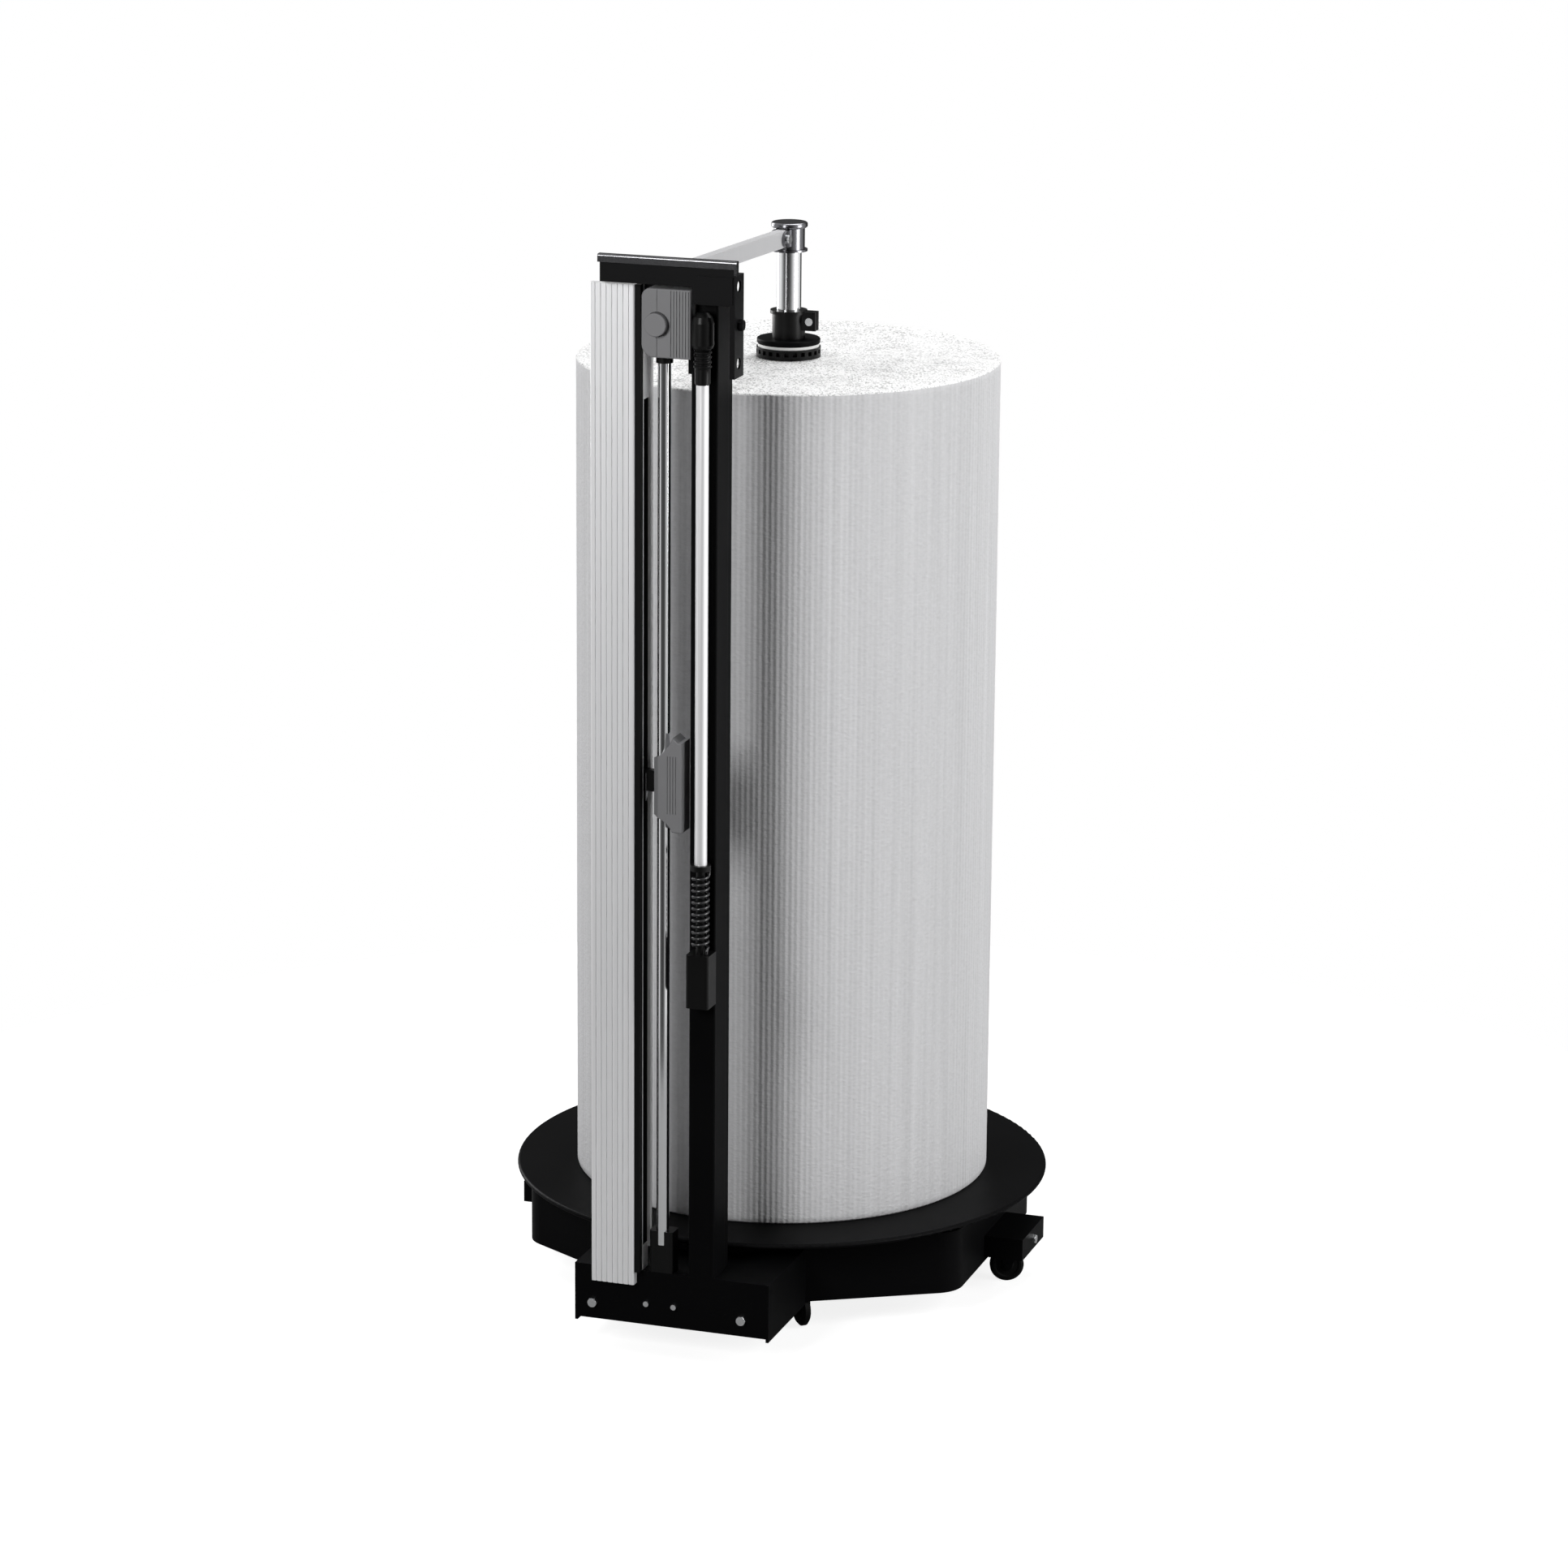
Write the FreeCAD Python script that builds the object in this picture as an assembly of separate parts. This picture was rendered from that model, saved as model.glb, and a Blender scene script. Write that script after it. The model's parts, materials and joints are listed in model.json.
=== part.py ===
"""Mobile stand for one tall upright roll of wrap, with a vertical cutting column at its front.

Millimetres, +Z up, the front faces -Y. Everything is drawn about the turntable's axis, and save()
moves it back by axis_y, so that the frame's origin is the middle of the stand's box on the floor.
"""
import FreeCAD
import Part
import math
import os

V = FreeCAD.Vector

# Turntable and roll
disc_radius = 391.5
disc_sheet = 3.0
disc_hole_gap = 4.0
rim_bead_radius = 3.75
roll_radius = 303.0
roll_height = 1203.0
roll_bore_radius = 45.0
core_bore_radius = 38.0
core_clearance = 0.5
roll_edge_round = 4.0

# Base pan
pan_vertex_radius = 382.0
pan_corner_round = 46.0
pan_top = 134.0
pan_depth = 91.0
pan_sheet = 3.0

# Turntable bearing and its centre
race_radius = 150.0
race_width = 36.0
bearing_height = 13.0
ball_radius = 3.0
ball_clearance = 0.1
ball_count = 32
race_gap = 2.2
kingpin_radius = 12.0
kingpin_flange_radius = 32.0
kingpin_flange_height = 5.0
kingpin_reach = 30.0
running_clearance = 0.05
free_clearance = 0.3
spigot_height = 55.0
spigot_screw_circle = 25.0
spigot_screw_radius = 3.0
spigot_screw_head_radius = 5.0
spigot_screw_head_height = 3.0
spigot_screw_depth = 12.0

# Front cross-member
column_gap = 76.5
cross_left = -151.0
cross_right = 138.0
cross_step = 10.0
cross_height = 80.0
cross_flange_drop = 5.0
cross_sheet = 4.0
cross_lap = 20.0
cross_bolt_inset = (27.0, 40.0)
cross_bolt_rise = 24.0
cross_bolt_radius = 7.5
cross_screw_x = (-43.0, -2.0)
cross_screw_rise = 32.0
cross_screw_radius = 4.6
bolt_head_height = 5.0

# Side outriggers
outrigger_length = 58.2
outrigger_half_width = 56.0
outrigger_height = 32.0
outrigger_sheet = 3.0
outrigger_bolt_radius = 7.0

# Castors
wheel_radius = 25.0
wheel_half_width = 7.0
wheel_bore_edge = 1.5
castor_rise = 30.0
castor_trail = 12.0
castor_axle_radius = 4.0
castor_stem_radius = 5.0
castor_plate_half = 20.0
castor_plate_sheet = 3.0
fork_sheet = 2.5
fork_side_gap = 1.5
fork_head_radius = 15.0
fork_head_height = 4.0
fork_arm_half = 7.0
axle_overhang = 1.5
fork_crown_gap = 3.0
side_castor_inset = 27.0
front_castor_x = 118.0
front_castor_inset = 4.9
rear_castor_inset = 88.0
hanger_sheet = 3.0

# Ribbed plate, seal strip and knife rail
plate_left = -122.0
plate_right = -58.0
plate_depth = 12.0
plate_overhang = 19.0
plate_drop = 40.0
plate_rib_count = 8
plate_rib_depth = 1.6
plate_rib_flank = 1.2
plate_corner = 3.0
seal_setback = 1.5
rail_left = -96.0
rail_right = -50.0
rail_depth = 24.0
rail_wall = 3.0
rail_lip_reach = 6.0
rail_lip_sheet = 3.0
rail_lip_rise = 30.0
slot_rise = 37.0
slot_drop = 63.0

# Post
post_left = 18.5
post_right = 56.5
post_depth = 48.0
post_wall = 2.5
post_corner = 3.0
post_drop = 21.0
channel_depth = 16.0
channel_inset = 1.5
channel_wall = 2.0
post_tab_reach = 5.0
post_tab_depth = 6.0
post_tab_height = 21.0
post_tab_gap = 3.0

# Beam between rail and post, under the head cover
beam_depth = 38.0
beam_height = 45.0
beam_inset = 6.0
beam_wall = 3.0

# Guide rod of the cutter
rod_x = -22.0
rod_inset = 8.0
rod_radius = 9.2
rod_foot_height = 61.0
rod_seat_depth = 20.0
rod_top_seat = 14.0
rod_collar_wall = 2.5
rod_collar_height = 11.4
rod_foot_half_width = 17.5
rod_foot_front = 8.0
rod_foot_back = 18.0

# Upper housing with its round button
housing_left = -44.0
housing_right = 26.0
housing_proud = 24.0
housing_drop = 41.0
housing_height = 94.0
housing_wall = 3.0
housing_round_top = 13.0
housing_round_bottom = 18.0
housing_edge_round = 2.0
housing_rib_pitch = 4.2
housing_rib_count = 7
housing_rib_depth = 1.2
housing_rib_width = 1.4
housing_rib_margin = 2.5
housing_seam_width = 1.2
housing_seam_depth = 1.0
button_x = -21.6
button_drop = 48.0
button_radius = 16.0
button_proud = 10.0
button_depth = 9.0
button_travel = 5.0
button_gap = 0.6
button_stem_radius = 4.0
button_spring_gap = 1.5

# Cutter grip, shoe and knife
cutter_z = 836.0
grip_left = -34.0
grip_right = 10.5
grip_peak_x = -3.6
grip_brow_x = 4.5
grip_toe_x = -4.0
grip_peak_rise = 67.4
grip_brow_rise = 60.8
grip_shoulder_rise = 34.7
grip_hip_drop = 45.5
grip_toe_drop = 66.5
grip_hollow = 5.0
grip_proud = 10.0
grip_depth = 33.0
grip_bevel = 10.0
grip_bevel_depth = 12.0
grip_round = 1.5
grip_rod_gap = 0.6
grip_rib_count = 4
grip_rib_pitch = 4.0
grip_rib_first_x = -10.0
grip_rib_width = 1.6
grip_rib_depth = 1.0
grip_rib_margin = 26.0
bush_wall = 1.5
bush_length = 12.0
bush_inset = 8.0
shoe_height = 60.0
shoe_play = 1.0
neck_height = 30.0
neck_half_depth = 5.5
knife_sheet = 1.0
knife_height = 40.0
knife_drop = 14.0

# Head cover and its rolled trim
head_rise = 213.0
cover_left = -100.6
cover_right = 91.0
cover_proud = 31.0
cover_depth = 36.0
cover_sheet = 3.0
cover_band_height = 35.0
cover_step_gap = 4.0
cover_step_drop = 58.0
cover_leg_width = 7.0
cover_leg_drop = 156.0
cover_tab_lap = 40.0
panel_raise = 2.0
panel_margin = 3.0
panel_drop = 19.0
panel_round = 10.0
side_hole_radius = 8.0
side_hole_spacing = 104.0
side_hole_drop = 85.0
side_hole_setback = 17.0
side_knob_radius = 8.0
side_knob_height = 7.0
trim_overhang_left = 1.8
trim_overhang_right = 3.4
trim_height = 11.0
trim_depth = 9.5
trim_end_height = 20.0
trim_sheet = 3.0
trim_front_gap = 1.5

# Guide tube on its spring
guide_x = 41.5
guide_setback = 18.3
guide_radius = 8.7
guide_wall = 1.5
guide_top_cover = 32.0
boot_radius = 15.2
boot_drop = 70.0
boot_height = 98.0
boot_bulge_height = 48.0
boot_waist_rise = 22.0
boot_waist_radius = 10.6
boot_rib_pitch = 6.5
boot_rib_count = 4
boot_rib_height = 1.6
boot_lug_half = 8.0
boot_clearance = 0.4
seat_radius = 14.0
seat_height = 8.0
stem_radius = 6.0
stem_reach = 26.0
anchor_half_width = 16.5
anchor_front = 34.0
anchor_top = 604.0
anchor_height = 76.0
spring_length = 119.0
spring_wire_radius = 2.0
spring_mean_radius = 10.6
spring_turns = 12
spring_bend_radius = 4.5
spring_end_extra = 0.2

# Arm and the fittings over the roll
arm_half_width = 7.0
arm_drop = 53.0
arm_height = 24.0
arm_root_x = -42.0
arm_foot_sheet = 5.0
arm_foot_drop = 12.0
arm_foot_right = -12.0
arm_bolt_x = -22.0
arm_bolt_spacing = 19.0
arm_bolt_radius = 4.5
mast_radius = 17.6
mast_wall = 3.0
collar_radius = 22.0
collar_height = 30.0
collar_flange_radius = 26.0
collar_flange_height = 3.0
ear_reach = 42.0
ear_sheet = 4.5
ear_bolt_reach = 31.0
ear_bolt_radius = 6.5
ear_bolt_shank_radius = 4.0
mast_cap_radius = 26.0
mast_cap_height = 8.0
lower_collar_radius = 23.5
lower_collar_height = 40.0
lower_rim_radius = 26.5
lower_rim_height = 5.0
lug_reach = 42.5
lug_sheet = 7.0
lug_split = 3.0
lug_rise = 12.0
lug_drop = 1.0
lug_bolt_x = 34.0
flange_radius = 45.4
flange_height = 8.0
flange_round = 2.5
washer_radius = 44.0
washer_height = 4.0
plug_flange_radius = 46.0
plug_flange_height = 14.0
plug_tooth_count = 24
plug_tooth_depth = 6.0
plug_tooth_reach = 7.0
plug_length = 60.0
plug_pin_radius = 12.0
plug_nut_radius = 17.0
plug_nut_height = 8.0

# Sizes that follow from the others, first the base
hex_slope = math.tan(math.radians(30.0))
hex_flat = math.cos(math.radians(30.0))
pan_bottom = pan_top - pan_depth
pan_ceiling = pan_top - pan_sheet
pan_flat = pan_vertex_radius * hex_flat
disc_bottom = pan_top + bearing_height
disc_top = disc_bottom + disc_sheet
roll_top = disc_top + roll_height
cross_top = pan_top - cross_step
cross_bottom = cross_top - cross_height
castor_mount = 2.0 * wheel_radius + castor_rise
outrigger_reach = pan_flat + outrigger_length
outrigger_top = castor_mount + outrigger_sheet
outrigger_bottom = outrigger_top - outrigger_height
side_castor_x = outrigger_reach - side_castor_inset
skirt_at_castor = pan_vertex_radius - (front_castor_x + castor_plate_half) * hex_slope - pan_sheet / hex_flat
front_castor_y = -(skirt_at_castor - castor_plate_half - front_castor_inset)
rear_castor_y = pan_vertex_radius - rear_castor_inset

# The column's front and depths
column_front = -(max(disc_radius, pan_vertex_radius) + column_gap)
plate_front = column_front - plate_depth
post_back = column_front + post_depth
rail_back = column_front + rail_depth
rod_y = column_front + rod_inset
housing_front = column_front - housing_proud
grip_front = column_front - grip_proud
cover_front = column_front - cover_proud
cover_back = cover_front + cover_depth
guide_y = column_front - guide_setback
beam_back = column_front + beam_inset + beam_depth
trim_front = cover_front - trim_front_gap - trim_sheet

# The column's heights
cover_top = roll_top + head_rise
cover_band_bottom = cover_top - cover_band_height
cover_step_bottom = cover_top - cover_step_drop
cover_leg_bottom = cover_top - cover_leg_drop
cover_step_left = housing_right + cover_step_gap
cover_leg_left = cover_right - cover_leg_width
side_hole_z = cover_top - side_hole_drop
post_top = cover_top - post_drop
beam_bottom = post_top - beam_height
cover_roof = post_top + free_clearance + cover_sheet
plate_top = cover_top - plate_drop
plate_bottom = cross_top - plate_overhang
housing_top = cover_top - housing_drop
housing_bottom = housing_top - housing_height
button_z = housing_top - button_drop
slot_top = housing_bottom - slot_drop
slot_bottom = cross_top + slot_rise
rail_lip_bottom = cross_top + rail_lip_rise
rod_bottom = cross_top + rod_foot_height
rod_collar_radius = rod_radius + rod_collar_wall
bush_radius = rod_radius + bush_wall
boot_top = cover_top - boot_drop
boot_bottom = boot_top - boot_height
boot_shoulder = boot_top - boot_bulge_height
boot_waist = boot_bottom + boot_waist_rise
guide_top = boot_top - guide_top_cover
seat_bottom = anchor_top + spring_length
guide_bottom = seat_bottom + seat_height
stem_bottom = anchor_top - stem_reach
anchor_bottom = anchor_top - anchor_height

# The arm and the fittings on the mast
arm_bottom = cover_top - arm_drop
arm_top = arm_bottom + arm_height
arm_turn = -math.degrees(math.atan2(arm_root_x, beam_back)) - 180.0
collar_top = arm_top
collar_bottom = collar_top - collar_height
mast_cap_bottom = collar_top + free_clearance
plug_flange_bottom = roll_top + free_clearance
plug_flange_top = plug_flange_bottom + plug_flange_height
washer_bottom = plug_flange_top + free_clearance
flange_bottom = washer_bottom + washer_height
lower_collar_bottom = flange_bottom + flange_height
lower_collar_top = lower_collar_bottom + lower_collar_height
lug_bolt_z = (lower_collar_bottom + lug_rise + lower_collar_top - lug_drop) / 2.0
front_limit = min(trim_front, housing_front - button_proud, guide_y - boot_radius)
axis_y = -(front_limit + disc_radius) / 2.0


def box(x0, x1, y0, y1, z0, z1):
    """A block between two corners."""
    return Part.makeBox(x1 - x0, y1 - y0, z1 - z0, V(x0, y0, z0))


def rod(radius, x, y, z0, z1):
    """An upright round bar."""
    return Part.makeCylinder(radius, z1 - z0, V(x, y, z0))


def bar(radius, start, end):
    """A round bar from one point to another."""
    run = V(*end) - V(*start)
    return Part.makeCylinder(radius, run.Length, V(*start), run)


def ring(outer, inner, x, y, z0, z1):
    """An upright round tube or washer."""
    return rod(outer, x, y, z0, z1).cut(rod(inner, x, y, z0, z1))


def prism(points, z0, z1):
    """A plan outline raised between two heights."""
    corners = [V(x, y, z0) for x, y in points]
    return Part.Face(Part.makePolygon(corners + corners[:1])).extrude(V(0, 0, z1 - z0))


def plate_xz(points, y0, y1):
    """A front-view outline pushed back from y0 to y1."""
    corners = [V(x, y0, z) for x, z in points]
    return Part.Face(Part.makePolygon(corners + corners[:1])).extrude(V(0, y1 - y0, 0))


def turned(points, x=0.0, y=0.0):
    """A solid of revolution about an upright axis, from (radius, z) points."""
    corners = [V(r, 0, z) for r, z in points]
    face = Part.Face(Part.makePolygon(corners + corners[:1]))
    solid = face.revolve(V(0, 0, 0), V(0, 0, 1), 360)
    solid.translate(V(x, y, 0))
    return solid


def edges_where(solid, test):
    """The solid's edges whose two ends both pass a test on their position."""
    return [e for e in solid.Edges if all(test(v.Point) for v in e.Vertexes) and len(e.Vertexes) == 2]


def upright_edges(solid):
    """The solid's straight upright edges."""
    found = []
    for edge in solid.Edges:
        if len(edge.Vertexes) == 2 and isinstance(edge.Curve, Part.Line):
            run = edge.Vertexes[1].Point - edge.Vertexes[0].Point
            if abs(run.x) < 0.01 and abs(run.y) < 0.01:
                found.append(edge)
    return found


def near(value, target):
    """True where two lengths are the same to a hundredth of a millimetre."""
    return abs(value - target) < 0.01


def joined(solids):
    """Touching or overlapping solids as one."""
    whole = solids[0]
    for solid in solids[1:]:
        whole = whole.fuse(solid)
    return whole.removeSplitter()


def group(solids):
    """Separate solids kept in one file."""
    return Part.makeCompound(solids)


def hex_head(radius, x, y, z, axis, height):
    """A six-sided bolt head with a round washer face, standing out along an axis."""
    corners = []
    for i in range(7):
        turn = math.radians(60 * i)
        corners.append(V(radius * math.cos(turn), radius * math.sin(turn), 0))
    head = Part.Face(Part.makePolygon(corners)).extrude(V(0, 0, height))
    crown = Part.makeCone(radius * 1.25, radius * 0.86, height * 1.02)
    head = head.common(crown)
    head.Placement = FreeCAD.Placement(V(x, y, z), FreeCAD.Rotation(V(0, 0, 1), V(*axis)))
    return head


def save(node, shape):
    """Write one sub-part in the stand's own frame."""
    moved = shape.copy()
    moved.translate(V(0, axis_y, 0))
    if not moved.isValid():
        print("not valid:", node)
    moved.exportStep("parts/" + node + ".step")


def hexagon(vertex_radius, z0, z1, corner_round):
    """A six-sided block with corners on the Y axis, its upright edges rounded."""
    points = []
    for i in range(6):
        turn = math.radians(60 * i - 90)
        points.append((vertex_radius * math.cos(turn), vertex_radius * math.sin(turn)))
    solid = prism(points, z0, z1)
    return solid.makeFillet(corner_round, upright_edges(solid))


def pan_block():
    """The pan's outer shape, as high as anything that meets its skirt."""
    return hexagon(pan_vertex_radius, pan_bottom - 20.0, pan_top, pan_corner_round)


def make_base_pan():
    """Six-sided pan, open below, that carries the turntable."""
    outer = hexagon(pan_vertex_radius, pan_bottom, pan_top, pan_corner_round)
    inner_vertex = pan_vertex_radius - pan_sheet / math.cos(math.radians(30))
    inner = hexagon(inner_vertex, pan_bottom, pan_ceiling, pan_corner_round - pan_sheet)
    return outer.cut(inner)


def make_turntable_disc():
    """Sheet disc whose edge is rolled into a bead."""
    bead_centre = disc_radius - rim_bead_radius
    sheet = ring(bead_centre, kingpin_radius + disc_hole_gap, 0, 0, disc_bottom, disc_top)
    holes = [rod(spigot_screw_radius, x, y, disc_bottom, disc_top) for x, y in spigot_screw_places()]
    sheet = sheet.cut(group(holes))
    bead = Part.makeTorus(bead_centre, rim_bead_radius, V(0, 0, disc_top - rim_bead_radius))
    return joined([sheet, bead])


def race(z0, z1, groove_z):
    """One flat ring of the turntable bearing with its ball groove."""
    outer = race_radius + race_width / 2.0
    inner = race_radius - race_width / 2.0
    groove = Part.makeTorus(race_radius, ball_radius, V(0, 0, groove_z))
    return ring(outer, inner, 0, 0, z0, z1).cut(groove)


def make_bearing():
    """Lower race, upper race and the balls between them."""
    middle = (pan_top + disc_bottom) / 2.0
    lower = race(pan_top, middle - race_gap / 2.0, middle)
    upper = race(middle + race_gap / 2.0, disc_bottom, middle)
    balls = []
    for i in range(ball_count):
        turn = 2.0 * math.pi * i / ball_count
        place = V(race_radius * math.cos(turn), race_radius * math.sin(turn), middle)
        balls.append(Part.makeSphere(ball_radius - ball_clearance, place))
    return lower, upper, group(balls)


def make_kingpin():
    """Fixed centre pin on the pan."""
    flange = rod(kingpin_flange_radius, 0, 0, pan_top, pan_top + kingpin_flange_height)
    pin = rod(kingpin_radius, 0, 0, pan_top, disc_top + kingpin_reach)
    return joined([flange, pin])


def make_core_spigot():
    """Plug on the disc that centres the roll's core and turns on the kingpin."""
    radius = core_bore_radius - core_clearance
    top = disc_top + spigot_height
    lead = 8.0
    profile = ((0, disc_top), (radius, disc_top), (radius, top - lead), (radius - lead, top), (0, top))
    bore_top = disc_top + kingpin_reach + 2.0
    spigot = turned(profile).cut(rod(kingpin_radius + running_clearance, 0, 0, disc_top, bore_top))
    return spigot.cut(group([rod(spigot_screw_radius, x, y, disc_top, disc_top + spigot_screw_depth)
                             for x, y in spigot_screw_places()]))


def spigot_screw_places():
    """Centres of the four screws that hold the spigot."""
    places = []
    for i in range(4):
        turn = math.radians(45 + 90 * i)
        places.append((spigot_screw_circle * math.cos(turn), spigot_screw_circle * math.sin(turn)))
    return places


def make_spigot_screws():
    """Four screws from under the disc into the spigot."""
    screws = []
    for x, y in spigot_screw_places():
        head = rod(spigot_screw_head_radius, x, y, disc_bottom - spigot_screw_head_height, disc_bottom)
        screws.append(joined([head, rod(spigot_screw_radius, x, y, disc_bottom, disc_top + spigot_screw_depth)]))
    return group(screws)


def make_paper_roll():
    """The wound roll, with softened edges."""
    r, b, z0, z1, s = roll_radius, roll_bore_radius, disc_top, roll_top, roll_edge_round
    return turned(((b, z0), (r - s, z0), (r, z0 + s), (r, z1 - s), (r - s, z1), (b, z1)))


def make_cross_member():
    """Folded front member: face, top and two side flanges that meet the pan."""
    s = cross_sheet
    x0, x1 = cross_left, cross_right
    back = cross_lap - (pan_vertex_radius - max(-x0, x1) * hex_slope)
    face = box(x0, x1, column_front, column_front + s, cross_bottom, cross_top)
    top = box(x0, x1, column_front, back, cross_top - s, cross_top)
    sides = [box(x, x + s, column_front, back, cross_bottom - cross_flange_drop, cross_top) for x in (x0, x1 - s)]
    return joined([face, top] + sides).cut(pan_block())


def make_base_bolts():
    """Two large bolts and two small screws on the cross-member's face, and one bolt on each outrigger's end."""
    heads = []
    for x in (cross_left + cross_bolt_inset[0], cross_right - cross_bolt_inset[1]):
        z = cross_bottom + cross_bolt_rise
        heads.append(hex_head(cross_bolt_radius, x, column_front, z, (0, -1, 0), bolt_head_height))
    for x in cross_screw_x:
        z = cross_bottom + cross_screw_rise
        heads.append(hex_head(cross_screw_radius, x, column_front, z, (0, -1, 0), bolt_head_height))
    z = (outrigger_top + outrigger_bottom) / 2.0
    for side in (1, -1):
        heads.append(hex_head(outrigger_bolt_radius, side * outrigger_reach, 0, z, (side, 0, 0), bolt_head_height))
    return group(heads)


def make_outrigger(side):
    """Open-bottomed box beyond the pan's flat side, over one castor."""
    start = pan_flat - pan_corner_round / 2.0
    s, w = outrigger_sheet, outrigger_half_width
    outer = box(start, outrigger_reach, -w, w, outrigger_bottom, outrigger_top)
    inner = box(start, outrigger_reach - s, -w + s, w - s, outrigger_bottom, outrigger_top - s)
    bracket = outer.cut(inner).cut(pan_block())
    if side < 0:
        bracket = bracket.mirror(V(0, 0, 0), V(1, 0, 0))
    return bracket


def castors():
    """Each castor's name, swivel axis and the way its wheel trails."""
    return (
        ("right", side_castor_x, 0.0, 199.5),
        ("left", -side_castor_x, 0.0, 35.0),
        ("front_right", front_castor_x, front_castor_y, -50.0),
        ("front_left", -front_castor_x, front_castor_y, 215.0),
        ("rear", 0.0, rear_castor_y, 160.0),
    )


def make_castor_plates():
    """The fixed plate and stem over each castor."""
    plates = []
    for name, x, y, turn in castors():
        h = castor_plate_half
        plate = box(x - h, x + h, y - h, y + h, castor_mount - castor_plate_sheet, castor_mount)
        stem_end = castor_mount - castor_plate_sheet - free_clearance - fork_head_height - 2.0
        stem = rod(castor_stem_radius, x, y, stem_end, castor_mount - castor_plate_sheet)
        plates.append(joined([plate, stem]))
    return group(plates)


def make_castor_hangers():
    """Square boxes that bring the inner castors' plates down from the pan's ceiling."""
    hangers = []
    h, s = castor_plate_half, hanger_sheet
    for name, x, y, turn in castors():
        if abs(y) > 1.0:
            outer = box(x - h, x + h, y - h, y + h, castor_mount, pan_ceiling)
            inner = box(x - h + s, x + h - s, y - h + s, y + h - s, castor_mount + s, pan_ceiling)
            hangers.append(outer.cut(inner))
    return group(hangers)


def place_castor(shape, x, y, turn):
    """Turn a castor piece drawn trailing along +X about the swivel axis and move it there."""
    shape.rotate(V(0, 0, 0), V(0, 0, 1), turn)
    shape.translate(V(x, y, 0))
    return shape


def make_castor_fork(x, y, turn):
    """Swivel head with two arms, and the axle they hold."""
    head_top = castor_mount - castor_plate_sheet - free_clearance
    head_bottom = head_top - fork_head_height
    inner = wheel_half_width + fork_side_gap
    outer = inner + fork_sheet
    head = rod(fork_head_radius, 0, 0, head_bottom, head_top)
    crown_bottom = 2.0 * wheel_radius + fork_crown_gap
    crown = box(-fork_arm_half, castor_trail + fork_arm_half, -outer, outer, crown_bottom, head_bottom)
    arms = []
    for y0 in (-outer, inner):
        web = plate_xz(((-fork_arm_half, crown_bottom), (castor_trail + fork_arm_half, crown_bottom),
                        (castor_trail + fork_arm_half, wheel_radius), (castor_trail - fork_arm_half, wheel_radius)),
                       y0, y0 + fork_sheet)
        eye = bar(fork_arm_half, (castor_trail, y0, wheel_radius), (castor_trail, y0 + fork_sheet, wheel_radius))
        arms.append(web.fuse(eye))
    axle = bar(castor_axle_radius, (castor_trail, -outer - axle_overhang, wheel_radius),
               (castor_trail, outer + axle_overhang, wheel_radius))
    stem_hole = rod(castor_stem_radius + running_clearance, 0, 0, crown_bottom, head_top)
    fork = joined([head, crown] + arms).cut(axle).cut(stem_hole)
    return place_castor(group([fork, axle]), x, y, turn)


def make_castor_wheel(x, y, turn):
    """One wheel with a soft rounded tread and a dished hub."""
    w, r, e = wheel_half_width, wheel_radius, wheel_bore_edge
    bore = castor_axle_radius + running_clearance
    hub = castor_axle_radius + 4.0
    dish = r - 9.0
    half = [(bore, w), (hub, w), (hub + 2.0, w - e), (dish, w - e), (dish + 2.0, w - 0.5), (r - 4.0, w - 0.5),
            (r, w - 4.0)]
    outline = half + [(q, -z) for q, z in reversed(half)]
    wheel = turned(outline)
    wheel.rotate(V(0, 0, 0), V(1, 0, 0), 90)
    wheel.translate(V(castor_trail, 0, wheel_radius))
    return place_castor(wheel, x, y, turn)


def make_ribbed_plate():
    """Aluminium front plate with shallow upright grooves."""
    solid = box(plate_left, plate_right, plate_front, column_front, plate_bottom, plate_top)
    rounded = [e for e in upright_edges(solid) if near(e.Vertexes[0].Point.y, plate_front)]
    solid = solid.makeFillet(plate_corner, rounded)
    grooves = []
    d, f = plate_rib_depth, plate_rib_flank
    for i in range(1, plate_rib_count):
        x = plate_left + (plate_right - plate_left) * i / plate_rib_count
        outline = ((x - f, plate_front - 1.0), (x + f, plate_front - 1.0), (x + f * 0.4, plate_front + d),
                   (x - f * 0.4, plate_front + d))
        grooves.append(prism(outline, plate_bottom - 1.0, plate_top + 1.0))
    return solid.cut(group(grooves))


def make_seal_strip():
    """Black strip between the ribbed plate and the rail's front edge."""
    return box(plate_right, rail_right, plate_front + seal_setback, column_front, cross_top, plate_top)


def make_knife_rail():
    """Hollow rail with the knife's slot in its right wall and a bright lip behind the slot."""
    w = rail_wall
    outer = box(rail_left, rail_right, column_front, rail_back, cross_top, plate_top)
    inner = box(rail_left + w, rail_right - w, column_front + w, rail_back - w, cross_top, plate_top)
    lip = box(rail_right, rail_right + rail_lip_reach, rail_back - rail_lip_sheet, rail_back, rail_lip_bottom,
              plate_top)
    slot = box(rail_right - w, rail_right, column_front + w, rail_back - w, slot_bottom, slot_top)
    return joined([outer, lip]).cut(inner).cut(slot)


def make_post():
    """Rectangular tube post with a small tab on its left side under the housing."""
    outer = box(post_left, post_right, column_front, post_back, cross_top, post_top)
    outer = outer.makeFillet(post_corner, upright_edges(outer))
    tab_top = housing_bottom - post_tab_gap
    tab_front = column_front + post_corner
    tab = box(post_left - post_tab_reach, post_left + post_wall, tab_front, tab_front + post_tab_depth,
              tab_top - post_tab_height, tab_top)
    w = post_wall
    inner = box(post_left + w, post_right - w, column_front + w, post_back - w, cross_top, post_top - w)
    return joined([outer, tab]).cut(inner)


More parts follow.
